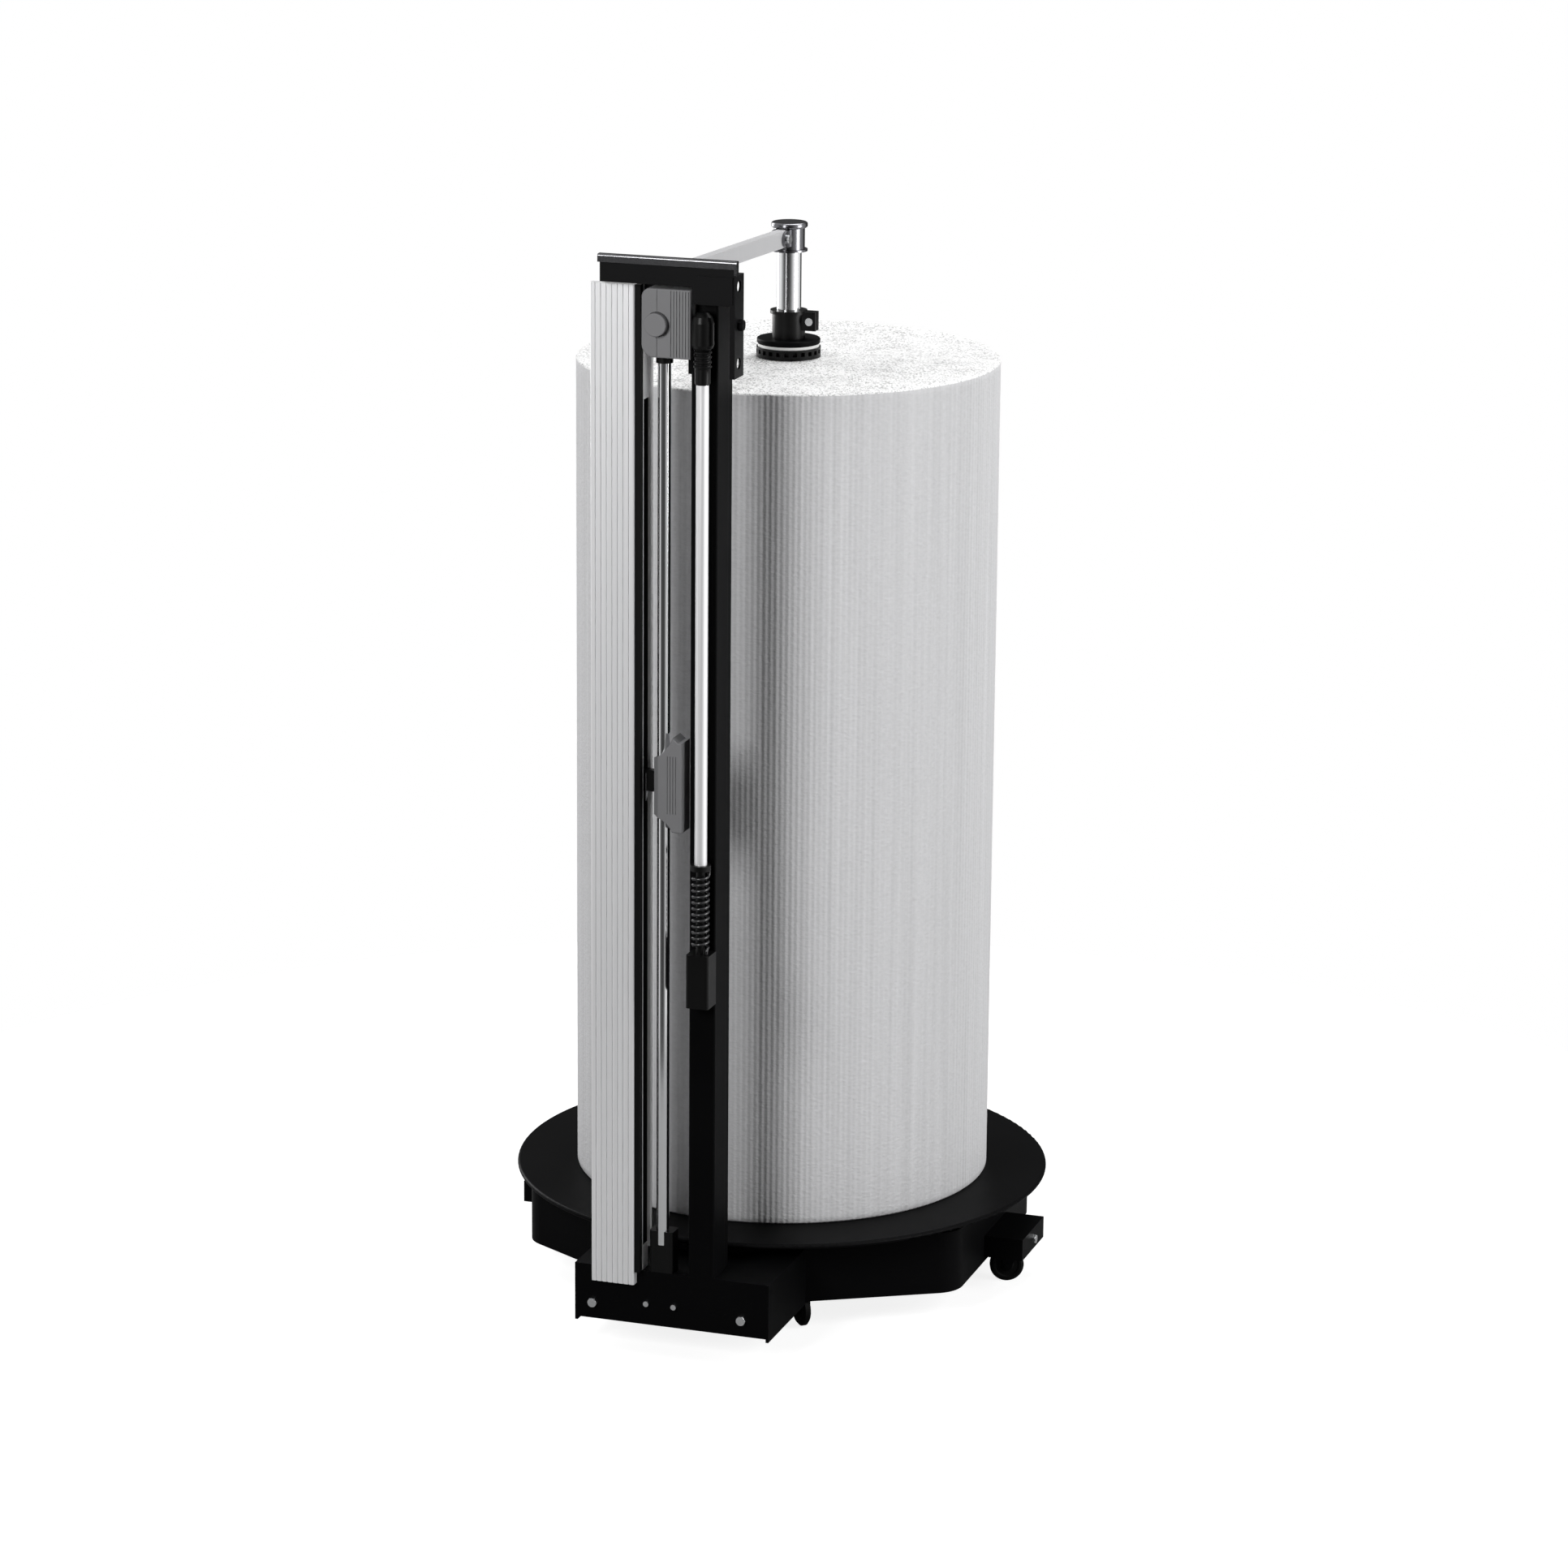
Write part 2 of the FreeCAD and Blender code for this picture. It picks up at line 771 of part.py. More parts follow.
def make_post_channel():
    """Shallow channel down the post's back, open to the rear."""
    i, w = channel_inset, channel_wall
    outer = box(post_left + i, post_right - i, post_back, post_back + channel_depth, cross_top, post_top)
    inner = box(post_left + i + w, post_right - i - w, post_back + w, post_back + channel_depth, cross_top, post_top)
    return outer.cut(inner)


def make_head_beam():
    """Tube that ties the rail to the post behind the upper housing."""
    y0 = column_front + beam_inset
    y1 = y0 + beam_depth
    w = beam_wall
    outer = box(rail_right, post_left, y0, y1, beam_bottom, beam_bottom + beam_height)
    rail_side = box(rail_right, rail_right + rail_lip_reach, rail_back - rail_lip_sheet, rail_back,
                    beam_bottom, plate_top)
    inner = box(rail_right, post_left, y0 + w, y1 - w, beam_bottom + w, beam_bottom + beam_height - w)
    return outer.cut(inner).cut(rail_side)


def make_guide_rod():
    """Bright rod that the cutter grip slides on."""
    return rod(rod_radius, rod_x, rod_y, rod_bottom - rod_seat_depth, housing_bottom + rod_top_seat)


def make_rod_collar():
    """Black collar under the upper housing."""
    return ring(rod_collar_radius, rod_radius, rod_x, rod_y, housing_bottom - rod_collar_height, housing_bottom)


def make_rod_foot():
    """Block on the cross-member that holds the rod's lower end."""
    block = box(rod_x - rod_foot_half_width, rod_x + rod_foot_half_width, rod_y - rod_foot_front,
                rod_y + rod_foot_back, cross_top, rod_bottom)
    block = block.makeFillet(4.0, upright_edges(block))
    return block.cut(rod(rod_radius, rod_x, rod_y, rod_bottom - rod_seat_depth, rod_bottom))


def make_upper_housing():
    """Moulded cover at the rod's top, with grip ribs and the button's well."""
    back = column_front + beam_inset
    outer = box(housing_left, housing_right, housing_front, back, housing_bottom, housing_top)
    for radius, level in ((housing_round_top, housing_top), (housing_round_bottom, housing_bottom)):
        outer = outer.makeFillet(radius, edges_where(outer, lambda p: near(p.x, housing_left) and near(p.z, level)))
    outer = outer.makeFillet(housing_edge_round, edges_where(outer, lambda p: near(p.y, housing_front)))
    w = housing_wall
    inner = box(housing_left + w, housing_right - w, housing_front + w, back, housing_bottom + w + rod_top_seat,
                housing_top - w)
    well = bar(button_radius + button_gap, (button_x, housing_front, button_z),
               (button_x, housing_front + button_depth, button_z))
    guide = bar(button_stem_radius + button_gap, (button_x, housing_front, button_z), (button_x, back, button_z))
    floor_ring = bar(button_radius + button_gap + w, (button_x, housing_front + w, button_z),
                     (button_x, housing_front + button_depth + w, button_z))
    shell = outer.cut(inner).fuse(floor_ring.common(outer)).cut(well).cut(guide)
    m = housing_rib_margin
    ribs = [box(button_x - housing_seam_width / 2.0, button_x + housing_seam_width / 2.0, housing_front,
                housing_front + housing_seam_depth, housing_bottom, housing_top)]
    for i in range(housing_rib_count):
        x = housing_right - m - housing_rib_pitch * i
        ribs.append(box(x - housing_rib_width / 2.0, x + housing_rib_width / 2.0, housing_front,
                        housing_front + housing_rib_depth, housing_bottom + m, housing_top - m))
    notch = box(post_left - free_clearance, housing_right, column_front - free_clearance, back,
                housing_bottom, housing_top)
    shell = shell.cut(group(ribs)).cut(make_guide_rod()).cut(notch)
    return shell.removeSplitter()


def make_button():
    """Round push button with a short stem."""
    front = housing_front - button_proud
    cap_back = housing_front + button_depth - button_travel - button_spring_gap
    cap = bar(button_radius, (button_x, front, button_z), (button_x, cap_back, button_z))
    cap = cap.makeFillet(1.5, [e for e in cap.Edges if near(e.BoundBox.YMax, front)])
    stem = bar(button_stem_radius, (button_x, cap_back, button_z),
               (button_x, housing_front + button_depth + housing_wall, button_z))
    return joined([cap, stem])


def hollow_arc(start, end):
    """An arc between two (x, z) points that is hollowed towards the grip's middle."""
    run = V(end[0] - start[0], 0, end[1] - start[1])
    inward = V(run.z, 0, -run.x).normalize()
    middle = V((start[0] + end[0]) / 2.0, 0, (start[1] + end[1]) / 2.0) + inward * grip_hollow
    return Part.Arc(V(start[0], 0, start[1]), middle, V(end[0], 0, end[1])).toShape()


def grip_block():
    """The grip's front view pushed back, with its two hollowed slopes."""
    hip = (grip_left, cutter_z - grip_hip_drop)
    shoulder = (grip_left, cutter_z + grip_shoulder_rise)
    peak = (grip_peak_x, cutter_z + grip_peak_rise)
    brow = (grip_brow_x, cutter_z + grip_brow_rise)
    corner = (grip_right, cutter_z + grip_brow_rise)
    heel = (grip_right, cutter_z - grip_toe_drop)
    toe = (grip_toe_x, cutter_z - grip_toe_drop)
    straight = [(hip, shoulder), (peak, brow), (brow, corner), (corner, heel), (heel, toe)]
    edges = [Part.LineSegment(V(a[0], 0, a[1]), V(b[0], 0, b[1])).toShape() for a, b in straight]
    edges += [hollow_arc(shoulder, peak), hollow_arc(toe, hip)]
    face = Part.Face(Part.Wire(Part.__sortEdges__(edges)))
    face.translate(V(0, grip_front, 0))
    return face.extrude(V(0, grip_depth, 0))


def make_cutter_grip():
    """Hand grip round the guide rod, with upright ribs on its face and a bevel towards the rail."""
    low = cutter_z - grip_toe_drop
    high = cutter_z + grip_peak_rise
    grip = grip_block()
    grip = grip.makeFillet(grip_round, edges_where(grip, lambda p: near(p.y, grip_front)))
    bevel = prism(((grip_left, grip_front), (grip_left + grip_bevel, grip_front),
                   (grip_left, grip_front + grip_bevel_depth)), low, high)
    grooves = []
    for i in range(grip_rib_count):
        x = grip_rib_first_x + grip_rib_pitch * i
        grooves.append(box(x - grip_rib_width / 2.0, x + grip_rib_width / 2.0, grip_front,
                           grip_front + grip_rib_depth, low + grip_rib_margin, high - grip_rib_margin))
    grip = grip.cut(bevel).cut(group(grooves))
    return grip.cut(rod(rod_radius + grip_rod_gap, rod_x, rod_y, low, high)).cut(group(bush_blanks()))


def bush_blanks():
    """The two places in the grip that its bushes fill."""
    low = cutter_z - grip_hip_drop + bush_inset
    high = cutter_z + grip_shoulder_rise - bush_inset
    return [rod(bush_radius, rod_x, rod_y, z, z + bush_length) for z in (low, high - bush_length)]


def make_grip_bushes():
    """Two plain bushes that run on the guide rod."""
    bore = rod(rod_radius + running_clearance, rod_x, rod_y, 0.0, cover_top)
    return group([blank.cut(bore) for blank in bush_blanks()])


def make_knife_shoe():
    """Block inside the rail with the neck that passes through the slot to the grip."""
    w, p = rail_wall, shoe_play
    shoe = box(rail_left + w + p, rail_right - w - p, column_front + w + p, rail_back - w - p,
               cutter_z - shoe_height / 2.0, cutter_z + shoe_height / 2.0)
    middle = column_front + rail_depth / 2.0
    neck = box(rail_right - w - p, grip_left, middle - neck_half_depth, middle + neck_half_depth,
               cutter_z - neck_height / 2.0, cutter_z + neck_height / 2.0)
    return joined([shoe, neck]).cut(knife_blank())


def knife_blank():
    """The knife's outline between the rail and the grip."""
    x0 = rail_right + 2.0
    middle = column_front + rail_depth / 2.0
    top = cutter_z + neck_height / 2.0 - 4.0
    low = top - knife_height
    corners = [V(x0, middle - neck_half_depth, top), V(x0, middle + neck_half_depth, top),
               V(x0, middle + neck_half_depth, low + knife_drop), V(x0, middle - neck_half_depth, low)]
    return Part.Face(Part.makePolygon(corners + corners[:1])).extrude(V(knife_sheet, 0, 0))


def make_head_cover():
    """Folded sheet cover: stepped front, low roof, side walls, a raised panel and two side holes."""
    s = cover_sheet
    outline = ((cover_left, cover_top), (cover_right, cover_top), (cover_right, cover_leg_bottom),
               (cover_leg_left, cover_leg_bottom), (cover_leg_left, cover_step_bottom),
               (cover_step_left, cover_step_bottom), (cover_step_left, cover_band_bottom),
               (cover_left, cover_band_bottom))
    front = plate_xz(outline, cover_front, cover_front + s)
    roof = box(cover_left, cover_right, cover_front, cover_back, cover_roof - s, cover_roof)
    right = box(cover_right - s, cover_right, cover_front, cover_back, cover_leg_bottom, cover_roof)
    left = box(cover_left, cover_left + s, cover_front, cover_back, cover_band_bottom, cover_roof)
    panel = box(cover_step_left + panel_margin, cover_right - panel_margin, cover_front - panel_raise, cover_front,
                cover_step_bottom + panel_margin, cover_top - panel_drop)
    corner = edges_where(panel, lambda p: near(p.x, cover_step_left + panel_margin)
                         and near(p.z, cover_top - panel_drop))
    panel = panel.makeFillet(panel_round, corner)
    rear_tab = box(cover_step_left, post_right - post_corner, column_front - s, column_front,
                   post_top - cover_tab_lap, cover_roof - s)
    holes = [bar(side_hole_radius, (cover_right - s - 1.0, cover_front + side_hole_setback, z),
                 (cover_right + 1.0, cover_front + side_hole_setback, z))
             for z in (side_hole_z - side_hole_spacing / 2.0, side_hole_z + side_hole_spacing / 2.0)]
    return joined([front, roof, right, left, panel, rear_tab]).cut(group(holes))


def make_head_trim():
    """Rolled lip along the cover's top edge."""
    x0, x1 = cover_left - trim_overhang_left, cover_right + trim_overhang_right
    s = trim_sheet
    z1 = cover_top + s
    back = trim_front + trim_depth
    top = box(x0, x1, trim_front, back, cover_top, z1)
    front = box(x0, x1, trim_front, trim_front + s, z1 - trim_height, z1)
    lip = box(x0, x1, trim_front, cover_front, z1 - trim_height, z1 - trim_height + s)
    end = box(cover_right, x1, trim_front, back, z1 - trim_end_height, z1)
    corners = edges_where(end, lambda p: near(p.z, z1 - trim_end_height))
    end = end.makeFillet(s, [e for e in corners if near(e.Vertexes[0].Point.y, e.Vertexes[1].Point.y)])
    trim = joined([top, front, lip, end])
    edge = edges_where(trim, lambda p: near(p.y, trim_front) and near(p.z, z1))
    return trim.makeFillet(s * 0.9, edge)


def make_side_knob():
    """Hexagon knob on the cover's side wall."""
    y = cover_front + side_hole_setback
    return hex_head(side_knob_radius, cover_right, y, side_hole_z, (1, 0, 0), side_knob_height)


def make_guide_tube():
    """Bright tube in front of the post."""
    outer = rod(guide_radius, guide_x, guide_y, guide_bottom, guide_top)
    return outer.cut(rod(guide_radius - guide_wall, guide_x, guide_y, guide_bottom + 6.0, guide_top))


def make_guide_seat():
    """Collar and stem under the guide tube, which press on the spring."""
    seat = rod(seat_radius, guide_x, guide_y, seat_bottom, guide_bottom)
    stem = rod(stem_radius, guide_x, guide_y, stem_bottom, guide_bottom)
    return joined([seat, stem])


def make_guide_boot():
    """Ribbed black boot that the guide tube's top slides in, with a lug to the post."""
    r, w = boot_radius, boot_waist_radius
    bore = guide_radius + boot_clearance
    points = [(0, boot_bottom), (w - 0.8, boot_bottom), (w, boot_bottom + 1.5)]
    for i in range(boot_rib_count):
        z = boot_waist + boot_rib_pitch * i
        points.append((w, z))
        points.append((w + boot_rib_height, z + 1.5))
        points.append((w + boot_rib_height, z + 3.5))
        points.append((w, z + 5.0))
    points += [(r - 1.5, boot_shoulder), (r, boot_shoulder + 4.0), (r, boot_top - 14.0), (r - 2.5, boot_top - 6.0),
               (r - 8.0, boot_top), (0, boot_top)]
    shell = turned(points, guide_x, guide_y)
    lug = box(guide_x - boot_lug_half, guide_x + boot_lug_half, guide_y, column_front, boot_shoulder + 4.0,
              boot_top - 14.0)
    return joined([shell, lug]).cut(rod(bore, guide_x, guide_y, boot_bottom, guide_top + free_clearance))


def make_spring_anchor():
    """Block on the post under the spring, bored for the guide stem."""
    front = column_front - anchor_front
    block = box(guide_x - anchor_half_width, guide_x + anchor_half_width, front, column_front, anchor_bottom,
                anchor_top)
    rims = [e for e in upright_edges(block) if near(e.Vertexes[0].Point.y, front)]
    block = block.makeFillet(4.0, rims)
    return block.cut(rod(stem_radius + running_clearance, guide_x, guide_y, anchor_bottom, anchor_top))


def helix_arc(radius, z0, rise, turn0, turn1):
    """Two tangent arcs that follow a helix over a quarter turn."""
    def point(turn):
        z = z0 + rise * (turn - turn0)
        return V(radius * math.cos(turn), radius * math.sin(turn), z)

    def heading(turn):
        return V(-radius * math.sin(turn), radius * math.cos(turn), rise).normalize()

    start, end = point(turn0), point(turn1)
    t0, t1 = heading(turn0), heading(turn1)
    gap = end - start
    both = t0 + t1
    a = 2.0 * (1.0 - t0.dot(t1))
    b = 2.0 * gap.dot(both)
    c = -gap.dot(gap)
    reach = (-b + math.sqrt(b * b - 4.0 * a * c)) / (2.0 * a)
    low = start + t0 * reach
    high = end - t1 * reach
    middle = (low + high) * 0.5
    return [arc_from(start, t0, middle), arc_from(middle, (high - low).normalize(), end)]


def arc_from(start, heading, end):
    """The arc that leaves start along heading and reaches end."""
    chord = end - start
    inward = heading.cross(chord).cross(heading).normalize()
    radius = chord.dot(chord) / (2.0 * chord.dot(inward))
    centre = start + inward * radius
    outward = (start + chord * 0.5 - centre).normalize()
    return Part.Arc(start, centre + outward * radius, end).toShape()


def spring_path():
    """The spring's centre line: straight upright ends, bends, and rising quarter turns between them."""
    r = spring_mean_radius
    bend = spring_bend_radius
    straight = 2.0 * spring_wire_radius + spring_end_extra
    seat = seat_bottom
    quarter = math.pi / 2.0
    free = seat - anchor_top - 2.0 * (straight + bend)
    slope = free / (spring_turns * 2.0 * math.pi * r)
    z_low = anchor_top + straight + bend * (1.0 + slope)
    z_high = seat - straight - bend * (1.0 + slope)
    rise = (z_high - z_low) / (spring_turns * 2.0 * math.pi)
    parts = []
    first = V(r, 0, z_low)
    heading = V(0, r, rise).normalize()
    up = V(0, 0, 1)
    foot = first - heading * bend - up * bend
    parts.append(Part.LineSegment(V(foot.x, foot.y, anchor_top), foot).toShape())
    parts.append(arc_from(foot, up, first))
    for i in range(4 * spring_turns):
        z0 = z_low + rise * quarter * i
        parts += helix_arc(r, z0, rise, quarter * i, quarter * (i + 1))
    last = V(r, 0, z_high)
    tip = last + heading * bend + up * bend
    parts.append(arc_from(last, heading, tip))
    parts.append(Part.LineSegment(tip, V(tip.x, tip.y, seat)).toShape())
    return parts


def make_guide_spring():
    """The coil between the anchor and the guide tube's seat, one unbroken wire."""
    parts = spring_path()
    wire = Part.Wire(parts)
    start = parts[0].Vertexes[0].Point
    section = Part.Wire([Part.Circle(start, V(0, 0, 1), spring_wire_radius).toShape()])
    shell = Part.BRepOffsetAPI.MakePipeShell(wire)
    shell.add(section)
    shell.build()
    shell.makeSolid()
    coil = shell.shape()
    expected = math.pi * spring_wire_radius ** 2 * wire.Length
    print("spring volume over section times length: %.4f" % (coil.Volume / expected))
    print("spring least gap to itself: %.2f mm" % least_gap(parts))
    coil.translate(V(guide_x, guide_y, 0))
    return coil


def least_gap(parts):
    """Least clear distance between stretches of the wire that are over half a turn apart."""
    points = []
    run = 0.0
    for part in parts:
        steps = 6
        for i in range(steps):
            along = part.Length * i / steps
            points.append((run + along, part.valueAt(part.getParameterByLength(along))))
        run += part.Length
    apart = math.pi * spring_mean_radius
    least = 1.0e9
    for i, (run_a, a) in enumerate(points):
        for run_b, b in points[i + 1:]:
            if run_b - run_a > apart:
                least = min(least, a.distanceToPoint(b))
    return least - 2.0 * spring_wire_radius


def aimed(shape):
    """A piece drawn along -Y, turned about the mast to point at the arm's foot."""
    shape.rotate(V(0, 0, 0), V(0, 0, 1), arm_turn)
    return shape


def make_arm():
    """Flat bar from its foot on the head beam to the upper collar."""
    z0, z1 = arm_bottom, arm_top
    blade = aimed(box(-arm_half_width, arm_half_width, 2.0 * beam_back, -mast_radius, z0, z1))
    blade = blade.cut(box(cross_left, cross_right, 3.0 * beam_back, beam_back, z0, z1))
    foot = box(arm_root_x - arm_half_width, arm_foot_right, beam_back, beam_back + arm_foot_sheet,
               z0 - arm_foot_drop, z1)
    return joined([blade, foot]).cut(rod(collar_radius, 0, 0, z0, z1)).cut(ear_bolt_shank())


def make_arm_bolts():
    """Bolts through the arm's foot, one over the other."""
    middle = (arm_bottom - arm_foot_drop + arm_top) / 2.0
    heads = []
    for z in (middle - arm_bolt_spacing / 2.0, middle + arm_bolt_spacing / 2.0):
        heads.append(hex_head(arm_bolt_radius, arm_bolt_x, beam_back + arm_foot_sheet, z, (0, 1, 0),
                              bolt_head_height))
    return group(heads)


def ear_bolt_shank():
    """The shank that crosses the collar's ears and the arm's end."""
    reach = arm_half_width + ear_sheet
    z = (arm_bottom + arm_top) / 2.0
    return aimed(bar(ear_bolt_shank_radius, (-reach, -ear_bolt_reach, z), (reach, -ear_bolt_reach, z)))


def make_upper_collar():
    """Collar round the mast with two rounded ears that hold the arm's end."""
    body = rod(collar_radius, 0, 0, collar_bottom, collar_top)
    flange = rod(collar_flange_radius, 0, 0, collar_bottom - collar_flange_height, collar_bottom)
    z = (arm_bottom + arm_top) / 2.0
    half = arm_height / 2.0
    ears = []
    for x in (-arm_half_width - ear_sheet, arm_half_width):
        ears.append(aimed(box(x, x + ear_sheet, -ear_reach + half, 0, z - half, z + half)))
        ears.append(aimed(bar(half, (x, -ear_reach + half, z), (x + ear_sheet, -ear_reach + half, z))))
    solid = joined([body, flange] + ears)
    solid = solid.cut(rod(mast_radius + running_clearance, 0, 0, collar_bottom - collar_flange_height, collar_top))
    return solid.cut(ear_bolt_shank())


def make_ear_bolt():
    """Cross bolt with a round head on each side of the ears."""
    reach = arm_half_width + ear_sheet
    z = (arm_bottom + arm_top) / 2.0
    heads = [aimed(bar(ear_bolt_radius, (side * reach, -ear_bolt_reach, z),
                       (side * (reach + bolt_head_height - 1.0), -ear_bolt_reach, z))) for side in (1, -1)]
    return joined([ear_bolt_shank()] + heads)


def make_mast_tube():
    """Bright upright tube that carries the core plug."""
    return ring(mast_radius, mast_radius - mast_wall, 0, 0, lower_collar_bottom, mast_cap_bottom)


def make_mast_cap():
    """Round cap on the mast."""
    top = mast_cap_bottom + mast_cap_height
    cap = rod(mast_cap_radius, 0, 0, mast_cap_bottom, top)
    rims = [e for e in cap.Edges if near(e.BoundBox.ZMin, top) or near(e.BoundBox.ZMax, mast_cap_bottom)]
    return cap.makeFillet(3.0, rims)


def make_lower_collar():
    """Split collar on the mast's foot with two bolted lugs."""
    z0, z1 = lower_collar_bottom, lower_collar_top
    body = joined([rod(lower_collar_radius, 0, 0, z0, z1), rod(lower_rim_radius, 0, 0, z1 - lower_rim_height, z1)])
    half = lug_split / 2.0
    lugs = [box(0, lug_reach, y, y + lug_sheet, z0 + lug_rise, z1 - lug_drop) for y in (half, -half - lug_sheet)]
    solid = joined([body] + lugs)
    tall = edges_where(solid, lambda p: near(p.x, lug_reach))
    solid = solid.makeFillet(1.5, [e for e in tall if near(e.Vertexes[0].Point.y, e.Vertexes[1].Point.y)])
    solid = solid.cut(rod(mast_radius, 0, 0, z0, z1))
    solid = solid.cut(box(0, lug_reach + 1.0, -half, half, z0, z1))
    return solid.cut(lug_bolt_shank())


def lug_bolt_shank():
    """The shank that crosses the lower collar's lugs."""
    reach = lug_split / 2.0 + lug_sheet
    z = lug_bolt_z
    return bar(ear_bolt_shank_radius, (lug_bolt_x, -reach, z), (lug_bolt_x, reach, z))


def make_lug_bolt():
    """Clamp bolt through the lower collar's lugs."""
    reach = lug_split / 2.0 + lug_sheet
    z = lug_bolt_z
    head = bar(ear_bolt_radius - 1.0, (lug_bolt_x, -reach - 4.0, z), (lug_bolt_x, -reach, z))
    nut = hex_head(ear_bolt_radius, lug_bolt_x, reach, z, (0, 1, 0), bolt_head_height)
    return joined([lug_bolt_shank(), head, nut])


def make_core_flange():
    """Flange disc under the lower collar with the pin that the core plug turns on."""
    disc = rod(flange_radius, 0, 0, flange_bottom, lower_collar_bottom)
    disc = disc.makeFillet(flange_round, [e for e in disc.Edges if near(e.BoundBox.XMax, flange_radius)
                                          and near(e.BoundBox.ZLength, 0.0)])
    pin_end = plug_flange_bottom - plug_length - free_clearance
    pin = rod(plug_pin_radius, 0, 0, pin_end, flange_bottom)
    nut = rod(plug_nut_radius, 0, 0, pin_end - plug_nut_height, pin_end)
    return joined([disc, pin, nut])


def make_thrust_washer():
    """Pale slip washer between the flange and the plug."""
    return ring(washer_radius, plug_pin_radius, 0, 0, washer_bottom, flange_bottom)


def make_core_plug():
    """Toothed plug that sits in the roll's core and turns with it."""
    radius = core_bore_radius - core_clearance
    low = plug_flange_bottom - plug_length
    lead = 6.0
    profile = ((0, low), (radius - lead, low), (radius, low + lead), (radius, plug_flange_bottom),
               (plug_flange_radius, plug_flange_bottom), (plug_flange_radius, plug_flange_top), (0, plug_flange_top))
    plug = turned(profile).cut(rod(plug_pin_radius + running_clearance, 0, 0, low, plug_flange_top))
    notch_half = math.pi * plug_flange_radius / plug_tooth_count / 2.0
    notches = []
    for i in range(plug_tooth_count):
        notch = box(plug_flange_radius - plug_tooth_reach, plug_flange_radius + 2.0, -notch_half, notch_half,
                    plug_flange_top - plug_tooth_depth - 3.0, plug_flange_top - 3.0)
        notch.rotate(V(0, 0, 0), V(0, 0, 1), 360.0 * i / plug_tooth_count)
        notches.append(notch)
    return plug.cut(group(notches))


def main():
    """Write every sub-part."""
    os.makedirs("parts", exist_ok=True)
    lower_race, upper_race, balls = make_bearing()
    save("base_pan", make_base_pan())
    save("lower_race", lower_race)
    save("bearing_balls", balls)
    save("kingpin", make_kingpin())
    save("cross_member", make_cross_member())
    save("base_bolts", make_base_bolts())
    save("right_outrigger", make_outrigger(1))
    save("left_outrigger", make_outrigger(-1))
    save("castor_plates", make_castor_plates())
    save("castor_hangers", make_castor_hangers())
    for name, x, y, turn in castors():
        save(name + "_castor_fork", make_castor_fork(x, y, turn))
        save(name + "_castor_wheel", make_castor_wheel(x, y, turn))
    save("ribbed_plate", make_ribbed_plate())
    save("seal_strip", make_seal_strip())
    save("knife_rail", make_knife_rail())
    save("post", make_post())
    save("post_channel", make_post_channel())
    save("head_beam", make_head_beam())
    save("head_cover", make_head_cover())
    save("head_trim", make_head_trim())
    save("side_knob", make_side_knob())
    save("upper_housing", make_upper_housing())
    save("push_button", make_button())
    save("guide_rod", make_guide_rod())
    save("rod_collar", make_rod_collar())
    save("rod_foot", make_rod_foot())
    save("cutter_grip", make_cutter_grip())
    save("grip_bushes", make_grip_bushes())
    save("knife_shoe", make_knife_shoe())
    save("knife_blade", knife_blank())
    save("guide_tube", make_guide_tube())
    save("guide_seat", make_guide_seat())
    save("guide_boot", make_guide_boot())
    save("guide_spring", make_guide_spring())
    save("spring_anchor", make_spring_anchor())
    save("top_arm", make_arm())
    save("arm_bolts", make_arm_bolts())
    save("upper_collar", make_upper_collar())
    save("ear_bolt", make_ear_bolt())
    save("mast_tube", make_mast_tube())
    save("mast_cap", make_mast_cap())
    save("lower_collar", make_lower_collar())
    save("lug_bolt", make_lug_bolt())
    save("core_flange", make_core_flange())
    save("thrust_washer", make_thrust_washer())
    save("core_plug", make_core_plug())
    save("turntable_disc", make_turntable_disc())
    save("upper_race", upper_race)
    save("core_spigot", make_core_spigot())
    save("spigot_screws", make_spigot_screws())
    save("roll_core", ring(roll_bore_radius, core_bore_radius, 0, 0, disc_top, roll_top))
    save("paper_roll", make_paper_roll())
    print("axis_y %.3f" % axis_y)


main()
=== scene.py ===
"""Looks of the roll stand with its cutting column. Metres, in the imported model's frame."""
import json
import math

import bmesh
import bpy
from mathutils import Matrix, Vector, noise


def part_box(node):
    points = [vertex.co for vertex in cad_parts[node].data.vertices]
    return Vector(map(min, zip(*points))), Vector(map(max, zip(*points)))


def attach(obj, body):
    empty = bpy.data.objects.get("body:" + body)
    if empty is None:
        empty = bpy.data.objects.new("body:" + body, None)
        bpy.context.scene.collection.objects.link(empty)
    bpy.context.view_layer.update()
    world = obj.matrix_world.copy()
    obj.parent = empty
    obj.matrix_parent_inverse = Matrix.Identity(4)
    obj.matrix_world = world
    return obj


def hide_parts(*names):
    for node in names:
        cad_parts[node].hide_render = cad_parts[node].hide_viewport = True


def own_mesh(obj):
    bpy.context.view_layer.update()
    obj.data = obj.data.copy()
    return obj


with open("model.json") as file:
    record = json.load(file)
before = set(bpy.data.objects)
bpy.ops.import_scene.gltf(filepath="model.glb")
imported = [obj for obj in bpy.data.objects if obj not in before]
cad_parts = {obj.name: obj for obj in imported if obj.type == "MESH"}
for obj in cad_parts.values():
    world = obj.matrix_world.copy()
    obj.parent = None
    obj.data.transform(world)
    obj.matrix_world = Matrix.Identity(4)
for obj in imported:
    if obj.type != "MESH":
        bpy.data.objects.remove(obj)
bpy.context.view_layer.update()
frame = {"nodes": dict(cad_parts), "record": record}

MM = 0.001

